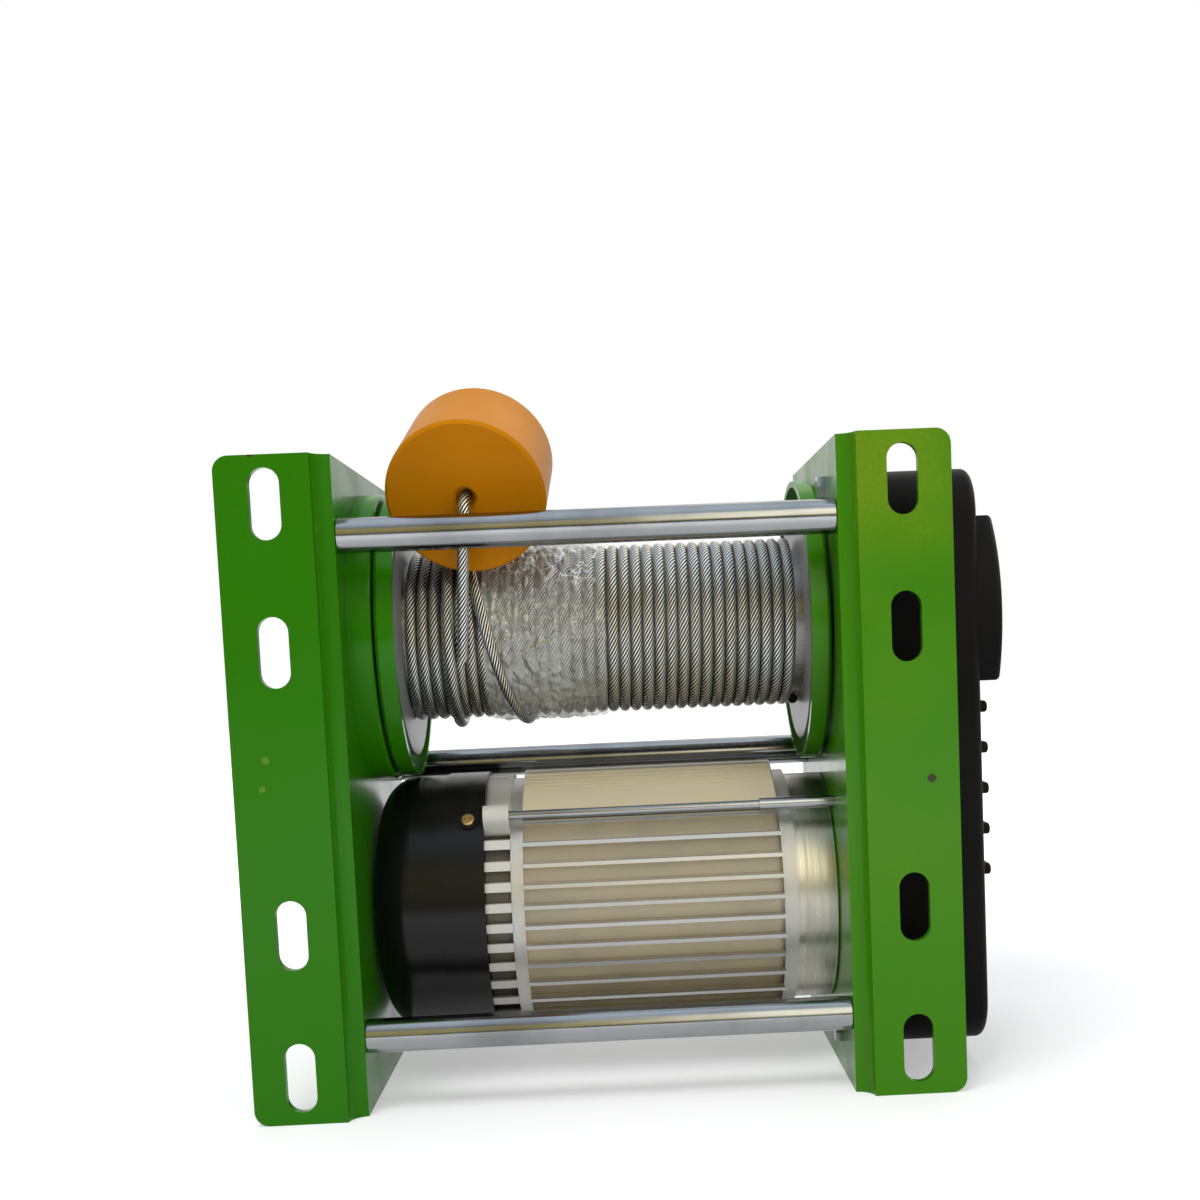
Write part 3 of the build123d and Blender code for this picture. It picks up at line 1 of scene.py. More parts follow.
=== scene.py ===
import json
import logging
import math
from dataclasses import dataclass
from enum import Enum

import bpy
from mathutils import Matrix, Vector, noise


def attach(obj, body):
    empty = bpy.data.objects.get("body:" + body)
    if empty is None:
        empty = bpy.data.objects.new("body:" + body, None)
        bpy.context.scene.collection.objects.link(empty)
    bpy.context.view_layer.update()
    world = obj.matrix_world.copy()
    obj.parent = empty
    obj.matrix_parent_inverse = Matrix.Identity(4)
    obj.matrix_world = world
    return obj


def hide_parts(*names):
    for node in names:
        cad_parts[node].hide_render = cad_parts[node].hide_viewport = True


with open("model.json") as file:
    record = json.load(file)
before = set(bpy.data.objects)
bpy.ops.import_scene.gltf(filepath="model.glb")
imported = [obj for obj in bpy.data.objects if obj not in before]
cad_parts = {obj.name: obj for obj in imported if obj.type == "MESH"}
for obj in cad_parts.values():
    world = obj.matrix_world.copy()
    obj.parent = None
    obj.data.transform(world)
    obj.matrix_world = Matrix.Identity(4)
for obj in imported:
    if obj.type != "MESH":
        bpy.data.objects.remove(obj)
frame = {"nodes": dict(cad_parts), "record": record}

log = logging.getLogger("hoist")

MM = 0.001
DATUM = Vector((-14.7, -85.5, 152.0))
FULL_TURN = 2 * math.pi
DRUM_AXIS = (96.0, 69.99)
MOTOR_AXIS = (99.0, -67.0)

Span = tuple[float, float]
Triple = tuple[float, float, float]
Colour = Triple
Mark = tuple[float, float, float, float]
Socket = bpy.types.NodeSocket


def place(x: float, y: float, z: float) -> Vector:
    """Point in metres from millimetres about the hoist's own datum.

    Args:
        x: distance from the middle between the side plates.
        y: depth behind the flanges' front face.
        z: height above the plates' half height.

    Returns:
        The point in the frame's metres.
    """
    return (Vector((x, y, z)) + DATUM) * MM


class Body(Enum):
    """Rigid bodies that the visible pieces ride on."""

    FRAME = "frame"
    DRUM = "drum"


def add(name: str, data: bpy.types.ID) -> bpy.types.Object:
    """Puts a new object into the scene.

    Args:
        name: the object's name.
        data: its mesh, curve, camera or lamp.

    Returns:
        The object.
    """
    thing = bpy.data.objects.new(name, data)
    bpy.context.scene.collection.objects.link(thing)
    return thing


class NodeSheet:
    """A node tree of any kind, with short calls for what its users share."""

    def __init__(self, tree: bpy.types.NodeTree) -> None:
        """Starts with an empty tree.

        Args:
            tree: the tree that is filled.
        """
        self.tree = tree
        self.tree.nodes.clear()

    def link(self, source: Socket, target: Socket) -> None:
        """Joins two sockets."""
        self.tree.links.new(source, target)

    def node(
        self, kind: str, inputs: dict[str | int, object] | None = None, **settings: object
    ) -> bpy.types.Node:
        """Adds one node.

        Args:
            kind: the node's type.
            inputs: input names or numbers, each with a socket or a value.
            settings: the node's own properties.

        Returns:
            The node.
        """
        node = self.tree.nodes.new(kind)
        for name, value in settings.items():
            setattr(node, name, value)
        for name, value in (inputs or {}).items():
            if isinstance(value, Socket):
                self.link(value, node.inputs[name])
            else:
                node.inputs[name].default_value = value
        return node

    def math(self, kind: str, first: object, second: object = 0.0) -> Socket:
        """One sum on sockets or numbers.

        Args:
            kind: the operation's name.
            first: a socket or a number.
            second: a socket or a number.

        Returns:
            The result's socket.
        """
        return self.node("ShaderNodeMath", {0: first, 1: second}, operation=kind).outputs[0]

    def product(self, first: object, *others: object) -> Socket:
        """Product of sockets and numbers."""
        for other in others:
            first = self.math("MULTIPLY", first, other)
        return first

    def ramp(
        self,
        value: Socket,
        low: float,
        high: float,
        start: float = 0.0,
        end: float = 1.0,
        kind: str = "SMOOTHSTEP",
    ) -> Socket:
        """Step of a value, smooth unless another kind is asked for.

        Args:
            value: the socket that is stepped.
            low: where the step begins.
            high: where the step ends.
            start: result below the step.
            end: result above the step.
            kind: how the step runs between its ends.

        Returns:
            The step's socket.
        """
        limits = {"Value": value, "From Min": low, "From Max": high, "To Min": start, "To Max": end}
        return self.node("ShaderNodeMapRange", limits, interpolation_type=kind).outputs[0]

    def mix(self, factor: Socket, first: object, second: object) -> Socket:
        """Mix of two colours.

        Args:
            factor: share of the second colour.
            first: a colour or a socket.
            second: a colour or a socket.

        Returns:
            The mixed colour's socket.
        """
        ends = {
            slot: value if isinstance(value, Socket) else (*value, 1)
            for slot, value in ((6, first), (7, second))
        }
        return self.node("ShaderNodeMix", {0: factor, **ends}, data_type="RGBA").outputs[2]

    def bands(self, value: Socket, stops: tuple[tuple[float, Colour], ...]) -> Socket:
        """Colours that ease into each other.

        Args:
            value: the socket that the colours follow, from 0 to 1.
            stops: place and colour of each, the first at 0 and the last at 1.

        Returns:
            The colour's socket.
        """
        node = self.node("ShaderNodeValToRGB", {0: value})
        node.color_ramp.interpolation = "EASE"
        elements = node.color_ramp.elements
        for spot, colour in stops[1:-1]:
            elements.new(spot).color = (*colour, 1)
        for end in (0, -1):
            elements[end].color = (*stops[end][1], 1)
        return node.outputs[0]


class ShaderSheet(NodeSheet):
    """Node tree of one finish, with short calls for what several finishes share."""

    def __init__(self, name: str, colour: Colour, metallic: float, roughness: float) -> None:
        """Starts a material with one surface shader.

        Args:
            name: the material's name.
            colour: base colour, linear.
            metallic: 1 for bare metal.
            roughness: how matt the surface is.
        """
        self.material = bpy.data.materials.new(name)
        self.material.use_nodes = True
        super().__init__(self.material.node_tree)
        looks = {"Base Color": (*colour, 1), "Metallic": metallic, "Roughness": roughness}
        self.surface = self.node("ShaderNodeBsdfPrincipled", looks)
        self.node("ShaderNodeOutputMaterial", {"Surface": self.surface.outputs[0]})
        self.place = self.node("ShaderNodeTexCoord").outputs["Object"]

    def feed(self, name: str, source: Socket) -> None:
        """Joins a socket to the surface shader's input of that name."""
        self.link(source, self.surface.inputs[name])

    def plain(self, **values: float) -> None:
        """Sets inputs of the surface shader, with underscores for spaces.

        Args:
            values: input names and their values.
        """
        for name, value in values.items():
            self.surface.inputs[name.replace("_", " ")].default_value = value

    def noise(self, scale: float, detail: float = 3.0, stretch: Triple = (1, 1, 1)) -> Socket:
        """Soft noise over the piece.

        Args:
            scale: cycles per metre.
            detail: layers of finer noise.
            stretch: factors along the three axes.

        Returns:
            The noise value's socket.
        """
        spot = self.node("ShaderNodeMapping", {"Vector": self.place, "Scale": stretch}).outputs[0]
        grain = {"Vector": spot, "Scale": scale, "Detail": detail}
        return self.node("ShaderNodeTexNoise", grain).outputs["Fac"]

    def axis(self, index: int) -> Socket:
        """One coordinate of the place on the piece, in metres."""
        return self.node("ShaderNodeSeparateXYZ", {0: self.place}).outputs[index]

    def near(self, centre: Vector, radius: float) -> Socket:
        """Closeness to a point, 1 at the point and 0 at the radius and beyond.

        Args:
            centre: the point in metres.
            radius: the reach in metres.

        Returns:
            The closeness socket.
        """
        gap = self.node("ShaderNodeVectorMath", {0: self.place, 1: centre}, operation="DISTANCE")
        return self.ramp(gap.outputs["Value"], radius, 0.0)

    def about(self, centre: Span) -> tuple[Socket, Socket, Socket]:
        """Place about an axis that runs along X.

        Args:
            centre: the axis's depth and height in millimetres about the datum.

        Returns:
            The sockets of the depth, the height and the distance from the axis, in metres.
        """
        axis = place(0, *centre)
        depth = self.math("SUBTRACT", self.axis(1), axis.y)
        rise = self.math("SUBTRACT", self.axis(2), axis.z)
        square = self.math("ADD", self.product(depth, depth), self.product(rise, rise))
        return depth, rise, self.math("SQRT", square)

    def attribute(self, name: str) -> Socket:
        """A value that the piece's mesh carries."""
        return self.node("ShaderNodeAttribute", attribute_name=name).outputs["Fac"]

    def bump(self, height: Socket, distance: float, strength: float = 1.0) -> None:
        """Relief on the surface, over any relief that is there already.

        Args:
            height: the relief's height, 0 to 1.
            distance: full height in metres.
            strength: share of the relief that shows.
        """
        relief = {"Height": height, "Distance": distance, "Strength": strength}
        normal = self.surface.inputs["Normal"]
        if normal.is_linked:
            relief["Normal"] = normal.links[0].from_socket
        self.feed("Normal", self.node("ShaderNodeBump", relief).outputs[0])


@dataclass(frozen=True)
class PlatePaint:
    """Glossy green paint on bent steel, with a few scuffs and chips. The gear-side plate is painted lighter
    and yellower as painted light, its upper front has yellow-green speckled patches, and each bend has a
    broken pale line of painted highlight.
    """

    # The left colour is the plate's green; the right colour adds painted light for the gear side, where the
    # light falls more strongly.
    left: Colour = (0.026, 0.180, 0.0015)
    right_lit: Colour = (0.050, 0.215, 0.004)
    mottle: Colour = (0.150, 0.270, 0.006)
    primer: Colour = (0.055, 0.040, 0.022)
    scuff: Colour = (0.110, 0.235, 0.020)
    scuffs: tuple[Mark, ...] = (
        (-149.3, 0.0, 16.5, 5.0),
        (-151.5, 0.0, 3.0, 3.6),
        (-119.0, 30.0, 40.0, 9.0),
    )
    chips: tuple[Mark, ...] = (
        (-147.6, 0.0, 152.6, 3.0),
        (-118.0, 96.0, 150.0, 3.0),
        (151.8, 0.0, -5.2, 3.4),
        (118.0, 118.0, 141.0, 2.6),
    )
    chip_depth: float = -0.00008
    lit_side_span: Span = (-0.06, 0.09)
    front_face: Span = (-0.0815, -0.0845)
    upper_part: Span = (0.06, 0.22)
    bend_x: float = 120.6
    bend_reach: Span = (0.9 * MM, 0.1 * MM)
    # Pale green of the painted highlight along each bend.
    bend_highlight: Colour = (0.15, 0.30, 0.012)
    patch_grain: float = 8.0
    speckle_grain: float = 420.0
    mark_grain: float = 320.0
    bend_highlight_grain: float = 14.0
    gloss_grain: float = 30.0
    relief_grain: float = 260.0

    def marks(self, sheet: ShaderSheet, places: tuple[Mark, ...], ragged: float) -> Socket:
        """Mask of ragged marks at chosen places.

        Args:
            sheet: the paint's node tree.
            places: centre and radius of each mark, in millimetres.
            ragged: how much noise breaks the marks up.

        Returns:
            The mask's socket.
        """
        total: Socket | None = None
        rough = sheet.product(sheet.noise(self.mark_grain, 5.0), ragged)
        for x, y, z, radius in places:
            near = sheet.near(place(x, y, z), radius * MM)
            mark = sheet.ramp(sheet.math("SUBTRACT", near, rough), 0.02, 0.12)
            total = mark if total is None else sheet.math("MAXIMUM", total, mark)
        return total

    def bend_highlight_mask(self, sheet: ShaderSheet) -> Socket:
        """Mask of the painted highlight, a broken pale line along each plate's bend."""
        off_middle = sheet.math("ABSOLUTE", sheet.math("SUBTRACT", sheet.axis(0), place(0, 0, 0).x))
        off_bend = sheet.math("ABSOLUTE", sheet.math("SUBTRACT", off_middle, self.bend_x * MM))
        broken = sheet.ramp(sheet.noise(self.bend_highlight_grain, 3.0, (0.1, 0.1, 1.0)), 0.35, 0.6, 0.0, 0.7)
        return sheet.product(sheet.ramp(off_bend, *self.bend_reach), broken)

    def make(self) -> bpy.types.Material:
        """Builds the paint's material."""
        sheet = ShaderSheet("plate_green_paint", self.left, 0.0, 0.24)
        sheet.plain(Coat_Weight=0.05, Coat_Roughness=0.12, Specular_IOR_Level=0.10)
        # Painted light: towards the gear side the green turns lighter and yellower, standing in for the
        # stronger light there.
        side = sheet.ramp(sheet.axis(0), *self.lit_side_span)
        front = sheet.ramp(sheet.axis(1), *self.front_face)
        high = sheet.ramp(sheet.axis(2), *self.upper_part)
        patches = sheet.ramp(sheet.noise(self.patch_grain), 0.36, 0.64)
        speckle = sheet.ramp(sheet.noise(self.speckle_grain, 4.0), 0.3, 0.7, 0.65, 1.0)
        base = sheet.mix(side, self.left, self.right_lit)
        base = sheet.mix(sheet.product(patches, high, side, front, speckle), base, self.mottle)
        base = sheet.mix(self.marks(sheet, self.scuffs, 1.15), base, self.scuff)
        # Painted highlight: a broken pale line along each bend, where the bend catches the light.
        base = sheet.mix(sheet.product(self.bend_highlight_mask(sheet), front), base, self.bend_highlight)
        chips = self.marks(sheet, self.chips, 0.7)
        sheet.feed("Base Color", sheet.mix(chips, base, self.primer))
        sheet.feed("Roughness", sheet.ramp(sheet.noise(self.gloss_grain), 0.3, 0.8, 0.16, 0.30))
        sheet.bump(sheet.noise(self.relief_grain, 2.0), 0.00010, 0.25)
        sheet.bump(chips, self.chip_depth)
        return sheet.material


@dataclass(frozen=True)
class BareMetal:
    """Bare or plated metal with fine marks along or round the piece."""

    name: str
    colour: Colour
    roughness: float = 0.25
    grain: float = 900.0
    stretch: Triple = (0.04, 1.0, 1.0)
    depth: float = 0.00002
    stain: float = 0.72
    stain_grain: float = 22.0
    roughness_spread: Span = (0.8, 1.35)

    def make(self) -> bpy.types.Material:
        """Builds the metal's material."""
        sheet = ShaderSheet(self.name, self.colour, 1.0, self.roughness)
        marks = sheet.noise(self.grain, 3.0, self.stretch)
        spread = (self.roughness * share for share in self.roughness_spread)
        sheet.feed("Roughness", sheet.ramp(marks, 0.3, 0.7, *spread))
        dark = tuple(channel * self.stain for channel in self.colour)
        stained = sheet.ramp(sheet.noise(self.stain_grain, 4.0), 0.45, 0.75)
        sheet.feed("Base Color", sheet.mix(stained, self.colour, dark))
        sheet.bump(marks, self.depth, 0.5)
        return sheet.material


@dataclass(frozen=True)
class Coating:
    """Paint or plastic of one colour with a fine texture."""

    name: str
    colour: Colour
    roughness: float = 0.45
    grain: float = 900.0
    depth: float = 0.00006
    shade: float = 0.75
    specular: float = 0.5
    patch_grain: float = 18.0
    patch_roughness: float = 1.2

    def make(self) -> bpy.types.Material:
        """Builds the coating's material."""
        sheet = ShaderSheet(self.name, self.colour, 0.0, self.roughness)
        sheet.plain(Specular_IOR_Level=self.specular)
        dark = tuple(channel * self.shade for channel in self.colour)
        patches = sheet.ramp(sheet.noise(self.patch_grain, 4.0), 0.35, 0.75)
        sheet.feed("Base Color", sheet.mix(patches, self.colour, dark))
        rougher = self.roughness * self.patch_roughness
        sheet.feed("Roughness", sheet.ramp(patches, 0.0, 1.0, self.roughness, rougher))
        sheet.bump(sheet.noise(self.grain, 2.0), self.depth, 0.5)
        return sheet.material


@dataclass(frozen=True)
class MotorPaint:
    """Fins and rings rubbed bright over cream paint that stays between the fins and on the flat pad."""

    ground: Colour = (0.60, 0.53, 0.38)
    shade: Colour = (0.50, 0.46, 0.35)
    tip: Colour = (0.48, 0.48, 0.48)
    pad_colour: Colour = (0.74, 0.64, 0.43)
    bare_radius: Span = (60.5 * MM, 64.0 * MM)
    ring_ends: Span = (-38.9, 86.0)
    ring_edge: float = 0.5 * MM
    ring_rubbed: float = 0.85
    pad_angle: float = 118.0
    pad_flat: Span = (61.8 * MM, 62.4 * MM)
    tip_metal: float = 0.7

    def rubbed(self, sheet: ShaderSheet, pad: Socket, out: Socket) -> Socket:
        """Mask of the fins' tips and the end rings.

        Args:
            sheet: the paint's node tree.
            pad: mask of the flat pad, which keeps its paint.
            out: distance from the motor's axis.

        Returns:
            The mask's socket.
        """
        fins = sheet.product(sheet.ramp(out, *self.bare_radius), sheet.math("SUBTRACT", 1.0, pad))
        start, end = (place(x, 0, 0).x for x in self.ring_ends)
        ring = sheet.math(
            "MAXIMUM",
            sheet.ramp(sheet.axis(0), start, start - self.ring_edge),
            sheet.ramp(sheet.axis(0), end, end + self.ring_edge),
        )
        return sheet.math("MAXIMUM", fins, sheet.product(ring, self.ring_rubbed))

    def make(self) -> bpy.types.Material:
        """Builds the motor's material."""
        sheet = ShaderSheet("motor_fin_paint", self.ground, 0.0, 0.42)
        depth, rise, out = sheet.about(MOTOR_AXIS)
        turn = math.radians(self.pad_angle)
        across = sheet.math("ADD", sheet.product(depth, math.cos(turn)), sheet.product(rise, math.sin(turn)))
        pad = sheet.ramp(across, *self.pad_flat)
        bare = self.rubbed(sheet, pad, out)
        rubbed = sheet.product(bare, sheet.ramp(sheet.noise(60.0, 4.0), 0.15, 0.5, 0.8, 1.0))
        dusty = sheet.mix(sheet.ramp(sheet.noise(40.0, 4.0), 0.4, 0.8), self.ground, self.shade)
        sheet.feed("Base Color", sheet.mix(rubbed, sheet.mix(pad, dusty, self.pad_colour), self.tip))
        sheet.feed("Metallic", sheet.product(rubbed, self.tip_metal))
        sheet.feed("Roughness", sheet.ramp(bare, 0.0, 1.0, 0.46, 0.40))
        sheet.bump(sheet.noise(1200.0, 2.0), 0.00004, 0.4)
        return sheet.material


@dataclass(frozen=True)
class ShieldPaint:
    """Pale rubbed ribs over a much darker ground on the motor's rear shield; the dark ground between the
    ribs is partly grime and partly painted shade in the recesses.
    """

    ground: Colour = (0.13, 0.115, 0.085)
    rib: Colour = (0.58, 0.56, 0.50)
    rib_radius: Span = (59.5 * MM, 62.5 * MM)

    def make(self) -> bpy.types.Material:
        """Builds the shield's material."""
        sheet = ShaderSheet("shield_cream_paint", self.rib, 0.0, 0.45)
        out = sheet.about(MOTOR_AXIS)[2]
        # Below the ribs' radius the colour turns dark: partly grime, partly painted shade between the ribs.
        sheet.feed("Base Color", sheet.mix(sheet.ramp(out, *self.rib_radius), self.ground, self.rib))
        sheet.feed("Roughness", sheet.ramp(sheet.noise(50.0), 0.3, 0.7, 0.38, 0.52))
        sheet.bump(sheet.noise(900.0, 2.0), 0.00005, 0.4)
        return sheet.material


@dataclass(frozen=True)
class WireRopeFinish:
    """Drawn steel wires: bright crowns, grooves painted near black, partly oil and partly painted shade, and
    the wires' own fine relief.
    """

    colour: Colour = (0.86, 0.87, 0.88)
    dull: Colour = (0.72, 0.70, 0.62)
    groove_oil_and_shade: Colour = (0.012, 0.012, 0.010)
    wires: float = 60.0
    wire_lay: float = 140.0

    def make(self) -> bpy.types.Material:
        """Builds the rope's material."""
        sheet = ShaderSheet("wire_rope_steel", self.colour, 1.0, 0.3)
        groove = sheet.ramp(sheet.attribute("groove"), 0.05, 0.55)
        turn = sheet.product(sheet.attribute("around"), FULL_TURN * self.wires)
        run = sheet.product(sheet.attribute("along"), FULL_TURN * self.wire_lay)
        wire = sheet.ramp(sheet.math("SINE", sheet.math("ADD", turn, run)), -1.0, 1.0)
        tone = sheet.mix(sheet.ramp(sheet.noise(28.0, 4.0), 0.35, 0.7), self.colour, self.dull)
        # The grooves between strands are painted near black: partly oil, partly painted shade.
        sheet.feed("Base Color", sheet.mix(groove, tone, self.groove_oil_and_shade))
        sheet.feed("Roughness", sheet.ramp(groove, 0.0, 1.0, 0.34, 0.6))
        sheet.bump(wire, 0.00004, 0.2)
        return sheet.material


@dataclass(frozen=True)
class FilmFinish:
    """Milky stretched film: finely crinkled round the drum, its creases in a band near the top painted
    bluish white, partly whitened creases and partly painted highlight, and clearer at one end.
    """

    colour: Colour = (0.46, 0.46, 0.42)
    bright: Colour = (0.95, 0.97, 1.0)
    milk: float = 0.56
    clear_span: Span = (-18.0, 2.0)
    top_band_span: Span = (84.0, 98.0)
    crinkle_share: float = 0.22
    fold_share: float = 0.5

    def make(self) -> bpy.types.Material:
        """Builds the film's material."""
        sheet = ShaderSheet("clear_wrap_film", self.colour, 0.2, 0.20)
        sheet.plain(Specular_IOR_Level=0.8, Coat_Weight=1.0, Coat_Roughness=0.06)
        crinkle = sheet.noise(420.0, 3.0, (1.0, 0.16, 0.16))
        fold = sheet.noise(150.0, 2.0, (1.0, 0.6, 0.6))
        ridge = sheet.ramp(sheet.math("ABSOLUTE", sheet.math("SUBTRACT", fold, 0.5)), 0.0, 0.030, 1.0, 0.0)
        broken = sheet.ramp(sheet.noise(75.0, 2.0), 0.40, 0.56)
        # Height band near the top of the drum where the crumpled creases and their painted highlight lie.
        top_band = sheet.ramp(sheet.axis(2), *(place(0, 0, rise).z for rise in self.top_band_span))
        crumple = sheet.product(ridge, broken, top_band)
        cloud = sheet.ramp(sheet.noise(30.0, 4.0), 0.35, 0.7, 0.75, 1.15)
        taut = sheet.ramp(sheet.axis(0), *(place(x, 0, 0).x for x in self.clear_span), 1.0, 0.5)
        milky = sheet.product(cloud, self.milk, taut)
        fine = sheet.product(sheet.ramp(crinkle, 0.5, 0.7), self.crinkle_share)
        folded = sheet.product(crumple, self.fold_share)
        sheet.feed("Alpha", sheet.math("ADD", sheet.math("ADD", milky, fine), folded))
        # Creases in the top band are painted bluish white: partly whitened creases, partly painted highlight
        # where the top of the drum catches the light.
        sheet.feed("Base Color", sheet.mix(crumple, self.colour, self.bright))
        sheet.bump(crinkle, 0.0005, 0.6)
        sheet.bump(fold, 0.0016, 0.6)
        return sheet.material


class Finishes:
    """All finishes of the hoist, made once."""

    def __init__(self) -> None:
        """Makes every material."""
        self.paint = PlatePaint().make()
        self.zinc = BareMetal("bright_zinc_steel", (0.31, 0.32, 0.33), 0.15).make()
        self.turned = BareMetal("turned_steel", (0.34, 0.33, 0.32), 0.3).make()
        self.bearing = BareMetal("ground_bearing_steel", (0.62, 0.62, 0.63), 0.15).make()
        self.cheek = Coating("grey_cheek_paint", (0.24, 0.25, 0.24), 0.35).make()
        black = (0.005, 0.0045, 0.0045)
        self.cast_black = Coating("black_cast_paint", black, 0.50, 1400.0, 0.00010, specular=0.08).make()
        self.black_screw = BareMetal("blackened_screw_steel", (0.06, 0.06, 0.06), 0.35).make()
        self.gasket = Coating("gasket_rubber", (0.02, 0.02, 0.02), 0.7).make()
        self.motor = MotorPaint().make()
        turned_across = (1.0, 0.004, 0.004)
        self.aluminium = BareMetal(
            "machined_aluminium", (0.54, 0.52, 0.46), 0.32, 1500.0, turned_across, 0.000006
        ).make()
        self.shield = ShieldPaint().make()
        stacked = (1.0, 0.02, 0.02)
        self.lamination = BareMetal("core_laminations", (0.28, 0.28, 0.29), 0.5, 2500.0, stacked).make()
        self.copper = BareMetal("winding_copper", (0.62, 0.27, 0.13), 0.35).make()
        self.fan = Coating("fan_plastic", (0.03, 0.03, 0.03), 0.5).make()
        self.lining = Coating("brake_lining", (0.12, 0.10, 0.08), 0.8).make()
        soot = (0.006, 0.0058, 0.0056)
        self.cowl = Coating("cowl_plastic", soot, 0.22, 1800.0, 0.00002, specular=0.22).make()
        self.brass = BareMetal("brass_screw_plate", (0.62, 0.44, 0.18), 0.3).make()
        orange = (0.56, 0.20, 0.001)
        self.orange = Coating("orange_weight_paint", orange, 0.34, 500.0, 0.00004, 0.9, specular=0.07).make()
        self.hook = BareMetal("forged_hook_steel", (0.42, 0.41, 0.39), 0.4, 500.0, (1, 1, 1), 0.0001).make()
        self.rope = WireRopeFinish().make()
        self.film = FilmFinish().make()


class PathSheet(NodeSheet):
    """A Geometry Nodes tree with named sizes, ending in a real mesh with one finish."""

    def __init__(self, name: str) -> None:
        """Starts the tree.

        Args:
            name: the tree's name.
        """
        super().__init__(bpy.data.node_groups.new(name, "GeometryNodeTree"))
        self.tree.is_modifier = True
        for way in ("INPUT", "OUTPUT"):
            self.tree.interface.new_socket("Geometry", in_out=way, socket_type="NodeSocketGeometry")
        self.entry = self.node("NodeGroupInput")
        self.exit = self.node("NodeGroupOutput")
        self.sizes: dict[str, float] = {}

    def size(self, name: str, value: float) -> Socket:
        """Adds a named number that the tree reads.

        Args:
            name: the number's name.
            value: its value.

        Returns:
            The socket that gives it.
        """
        self.tree.interface.new_socket(name, in_out="INPUT", socket_type="NodeSocketFloat")
        self.sizes[name] = value
        return self.entry.outputs[name]

    def close(self, geometry: Socket, finish: bpy.types.Material) -> None:
        """Ends the tree with real meshes and their finish.

        Args:
            geometry: the last geometry socket.
            finish: the material.
        """
        real = self.node("GeometryNodeRealizeInstances", {"Geometry": geometry})
        smooth = self.node("GeometryNodeSetShadeSmooth", {0: real.outputs[0]})
        dressed = self.node("GeometryNodeSetMaterial", {"Geometry": smooth.outputs[0], "Material": finish})
        self.link(dressed.outputs[0], self.exit.inputs[0])

    def bake(self, name: str, start: bpy.types.Mesh) -> bpy.types.Object:
        """Runs the tree on a mesh and keeps the plain result.

        Args:
            name: the finished piece's name.
            start: the mesh that the tree is given.

        Returns:
            The finished piece, with no modifier.
        """
        source = add(name + "_start", start)
        modifier = source.modifiers.new("tree", "NODES")
        modifier.node_group = self.tree
        for item in self.tree.interface.items_tree:
            if item.item_type == "SOCKET" and item.name in self.sizes:
                modifier[item.identifier] = self.sizes[item.name]
        graph = bpy.context.evaluated_depsgraph_get()
        mesh = bpy.data.meshes.new_from_object(source.evaluated_get(graph))
        bpy.data.objects.remove(source)
        return add(name, mesh)


def empty_mesh(name: str) -> bpy.types.Mesh:
    """A mesh with nothing in it, for a tree that makes its own start."""
    return bpy.data.meshes.new(name)


def line_mesh(name: str, points: list[Vector]) -> bpy.types.Mesh:
    """A mesh of edges through points.

    Args:
        name: the mesh's name.
        points: places in metres.

    Returns:
        The mesh.
    """
    mesh = bpy.data.meshes.new(name)
    mesh.from_pydata(points, [(i, i + 1) for i in range(len(points) - 1)], [])
    return mesh


def smooth_route(name: str, points: list[Vector], steps: int = 24, order: int = 3) -> list[Vector]:
    """Points of a smooth line steered by hand-chosen points.

    Args:
        name: the line's name.
        points: control points in metres.
        steps: pieces that each stretch is drawn in.
        order: how many points steer each stretch.

    Returns:
        Points read from the line's spline.
    """
    curve = bpy.data.curves.new(name, "CURVE")
    curve.dimensions = "3D"
    curve.resolution_u = steps
    spline = curve.splines.new("NURBS")
    spline.points.add(len(points) - 1)
    for target, point in zip(spline.points, points):
        target.co = (*point, 1)
    spline.order_u = order
    spline.use_endpoint_u = True
    holder = add(name, curve)
    mesh = bpy.data.meshes.new_from_object(holder.evaluated_get(bpy.context.evaluated_depsgraph_get()))
    route = [vertex.co.copy() for vertex in mesh.vertices]
    bpy.data.objects.remove(holder)
    return route


def rounded_route(points: list[Vector], radii: list[float], steps: int = 12) -> list[Vector]:
    """Straight runs joined by arcs.

    Args:
        points: corners of the route, in metres.
        radii: arc radius at each inner corner, in metres.
        steps: pieces that each arc is drawn in.

    Returns:
        The route's points.
    """
    route = [points[0]]
    for before, here, after, radius in zip(points, points[1:], points[2:], radii):
        back, onward = (before - here).normalized(), (after - here).normalized()
        half = back.angle(onward) / 2
        reach = radius / math.tan(half)
        centre = here + (back + onward).normalized() * (radius / math.sin(half))
        first, last = here + back * reach - centre, here + onward * reach - centre
        for step in range(steps + 1):
            route.append(centre + first.slerp(last, step / steps).normalized() * radius)
    return route + [points[-1]]


